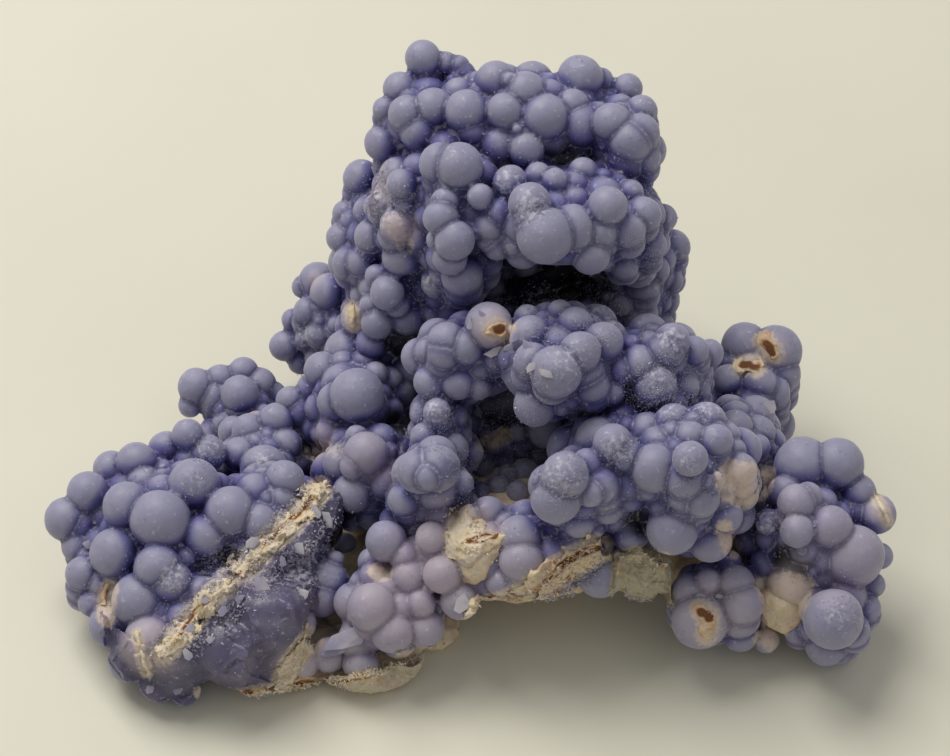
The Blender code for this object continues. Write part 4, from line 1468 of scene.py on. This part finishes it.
def druseCrystals(seen, finish):
    rng = np.random.default_rng(druse["seed"])
    spots = [(column, row, radius) for column, row, radius, strength in frostSpots] + druse["hollows"]
    share = np.array([radius**2 for column, row, radius in spots], float)
    chosen = rng.choice(len(spots), druse["count"], p=share / share.sum())
    angle = rng.uniform(0.0, 2.0 * math.pi, druse["count"])
    out = np.sqrt(rng.uniform(0.0, 1.0, druse["count"])) * np.array([spots[i][2] for i in chosen])
    columns = np.array([spots[i][0] for i in chosen]) + np.cos(angle) * out
    rows = np.array([spots[i][1] for i in chosen]) + np.sin(angle) * out
    columns = np.concatenate([columns, rng.uniform(*druse["across"], druse["scattered"])])
    rows = np.concatenate([rows, rng.uniform(*druse["down"], druse["scattered"])])
    sizes = rng.uniform(druse["smallest"], druse["largest"], len(rows))
    crystals("quartzDruse", columns, rows, sizes, seen, finish, ("chalcedony_crust", "chalcedony"))


# Small quartz points standing on whatever each line of sight meets.
def crystals(name, columns, rows, sizes, seen, finish, owner):
    reach = seen[rows.astype(int), columns.astype(int)]
    met = np.isfinite(reach)
    points = eye + sightThrough(columns[met], rows[met]) * reach[met][:, None]
    sizes = sizes[met]
    clear = points[:, 2] > druse["lowest"]
    tree = instancingTree(name, "GeometryNodeMeshCone", druse["shape"], finish)
    obj = instanced(name, points[clear], sizes[clear], tree)
    intoFrame(obj, cornerArray(obj.data, "co"))
    obj.data.shade_flat()
    dressed(obj, finish, *owner)
    print(name, len(obj.data.polygons), "faces")


studio = {
    "tableSize": 3.0,
    "table": {
        "plain": "#e1dece",
        "clouded": "#dddac9",
        "cloud": {"size": 70.0 * mm, "detail": 4.0, "from": 0.4, "to": 0.7},
        "shader": {"Roughness": 0.55},
    },
    "sky": "#f6f5f1",
    "skyStrength": 0.36,
    "key": {"place": (-0.24, 0.27, 0.65), "size": 0.45, "power": 4.0, "colour": "#fffcf6"},
    "fill": {"place": (0.5, -0.3, 0.8), "size": 0.8, "power": 0.6, "colour": "#f4f6ff"},
}


def addFloor():
    bpy.ops.mesh.primitive_plane_add(size=studio["tableSize"])
    floor = bpy.context.object
    floor.name = "floor"
    floor.data.materials.append(cloudedMaterial("paleTable", studio["table"]))


def addCamera():
    data = bpy.data.cameras.new("camera")
    data.sensor_width = sight["sensor"]
    data.lens = sight["distance"] / sight["step"] / sight["width"] * sight["sensor"]
    camera = bpy.data.objects.new("camera", data)
    camera.location = Vector((eye - baseMiddle) * mm)
    camera.rotation_euler = Vector(forward).to_track_quat("-Z", "Y").to_euler()
    bpy.context.scene.collection.objects.link(camera)
    bpy.context.scene.camera = camera


def addLight(name, settings):
    data = bpy.data.lights.new(name, "AREA")
    data.size = settings["size"]
    data.energy = settings["power"]
    data.color = linear(settings["colour"])[:3]
    light = bpy.data.objects.new(name, data)
    light.location = settings["place"]
    light.rotation_euler = (-Vector(settings["place"])).to_track_quat("-Z", "Y").to_euler()
    bpy.context.scene.collection.objects.link(light)


def addStudio():
    world = bpy.data.worlds.new("studio")
    bpy.context.scene.world = world
    world.use_nodes = True
    background = world.node_tree.nodes["Background"]
    background.inputs["Color"].default_value = linear(studio["sky"])
    background.inputs["Strength"].default_value = studio["skyStrength"]
    bpy.context.scene.view_settings.view_transform = "Standard"
    addLight("skylight", studio["key"])
    addLight("fill", studio["fill"])


addCamera()
grapesRead = readBalls()
allBalls = betweenBalls(stackedBalls(grapesRead))
print(len(grapesRead), "grapes read,", len(allBalls), "in all")
allBalls = withCaveGrapes(allBalls, seenDistances(allBalls))
low, grid = solidGrid(allBalls)
crowds = {"near": (low, blurred(grid, crowding["near"])), "wide": (low, blurred(grid, crowding["wide"]))}
seen = seenDistances(allBalls)
purple = grapeMaterial("purpleChalcedony", grapeLook)
smoky = grapeMaterial("brokenChalcedony", brokenLook)
stone = rockMaterial()
for region in lobes:
    grapePiece(region, allBalls, crowds, seen, purple)
rockPiece(stone, seen)
patchPieces(seen, crowds, smoky, stone)
print(len(patches), "patches and tints laid")
milky = cloudedMaterial("milkyQuartz", chipLook)
chipPieces(seen, milky)
grainCrystals("quartzSugar", seen, milky)
grainCrystals("rockGrains", seen, stone)
print(len(chips), "chips laid")
druseCrystals(seen, cloudedMaterial("quartzDruse", druse))
addFloor()
addStudio()
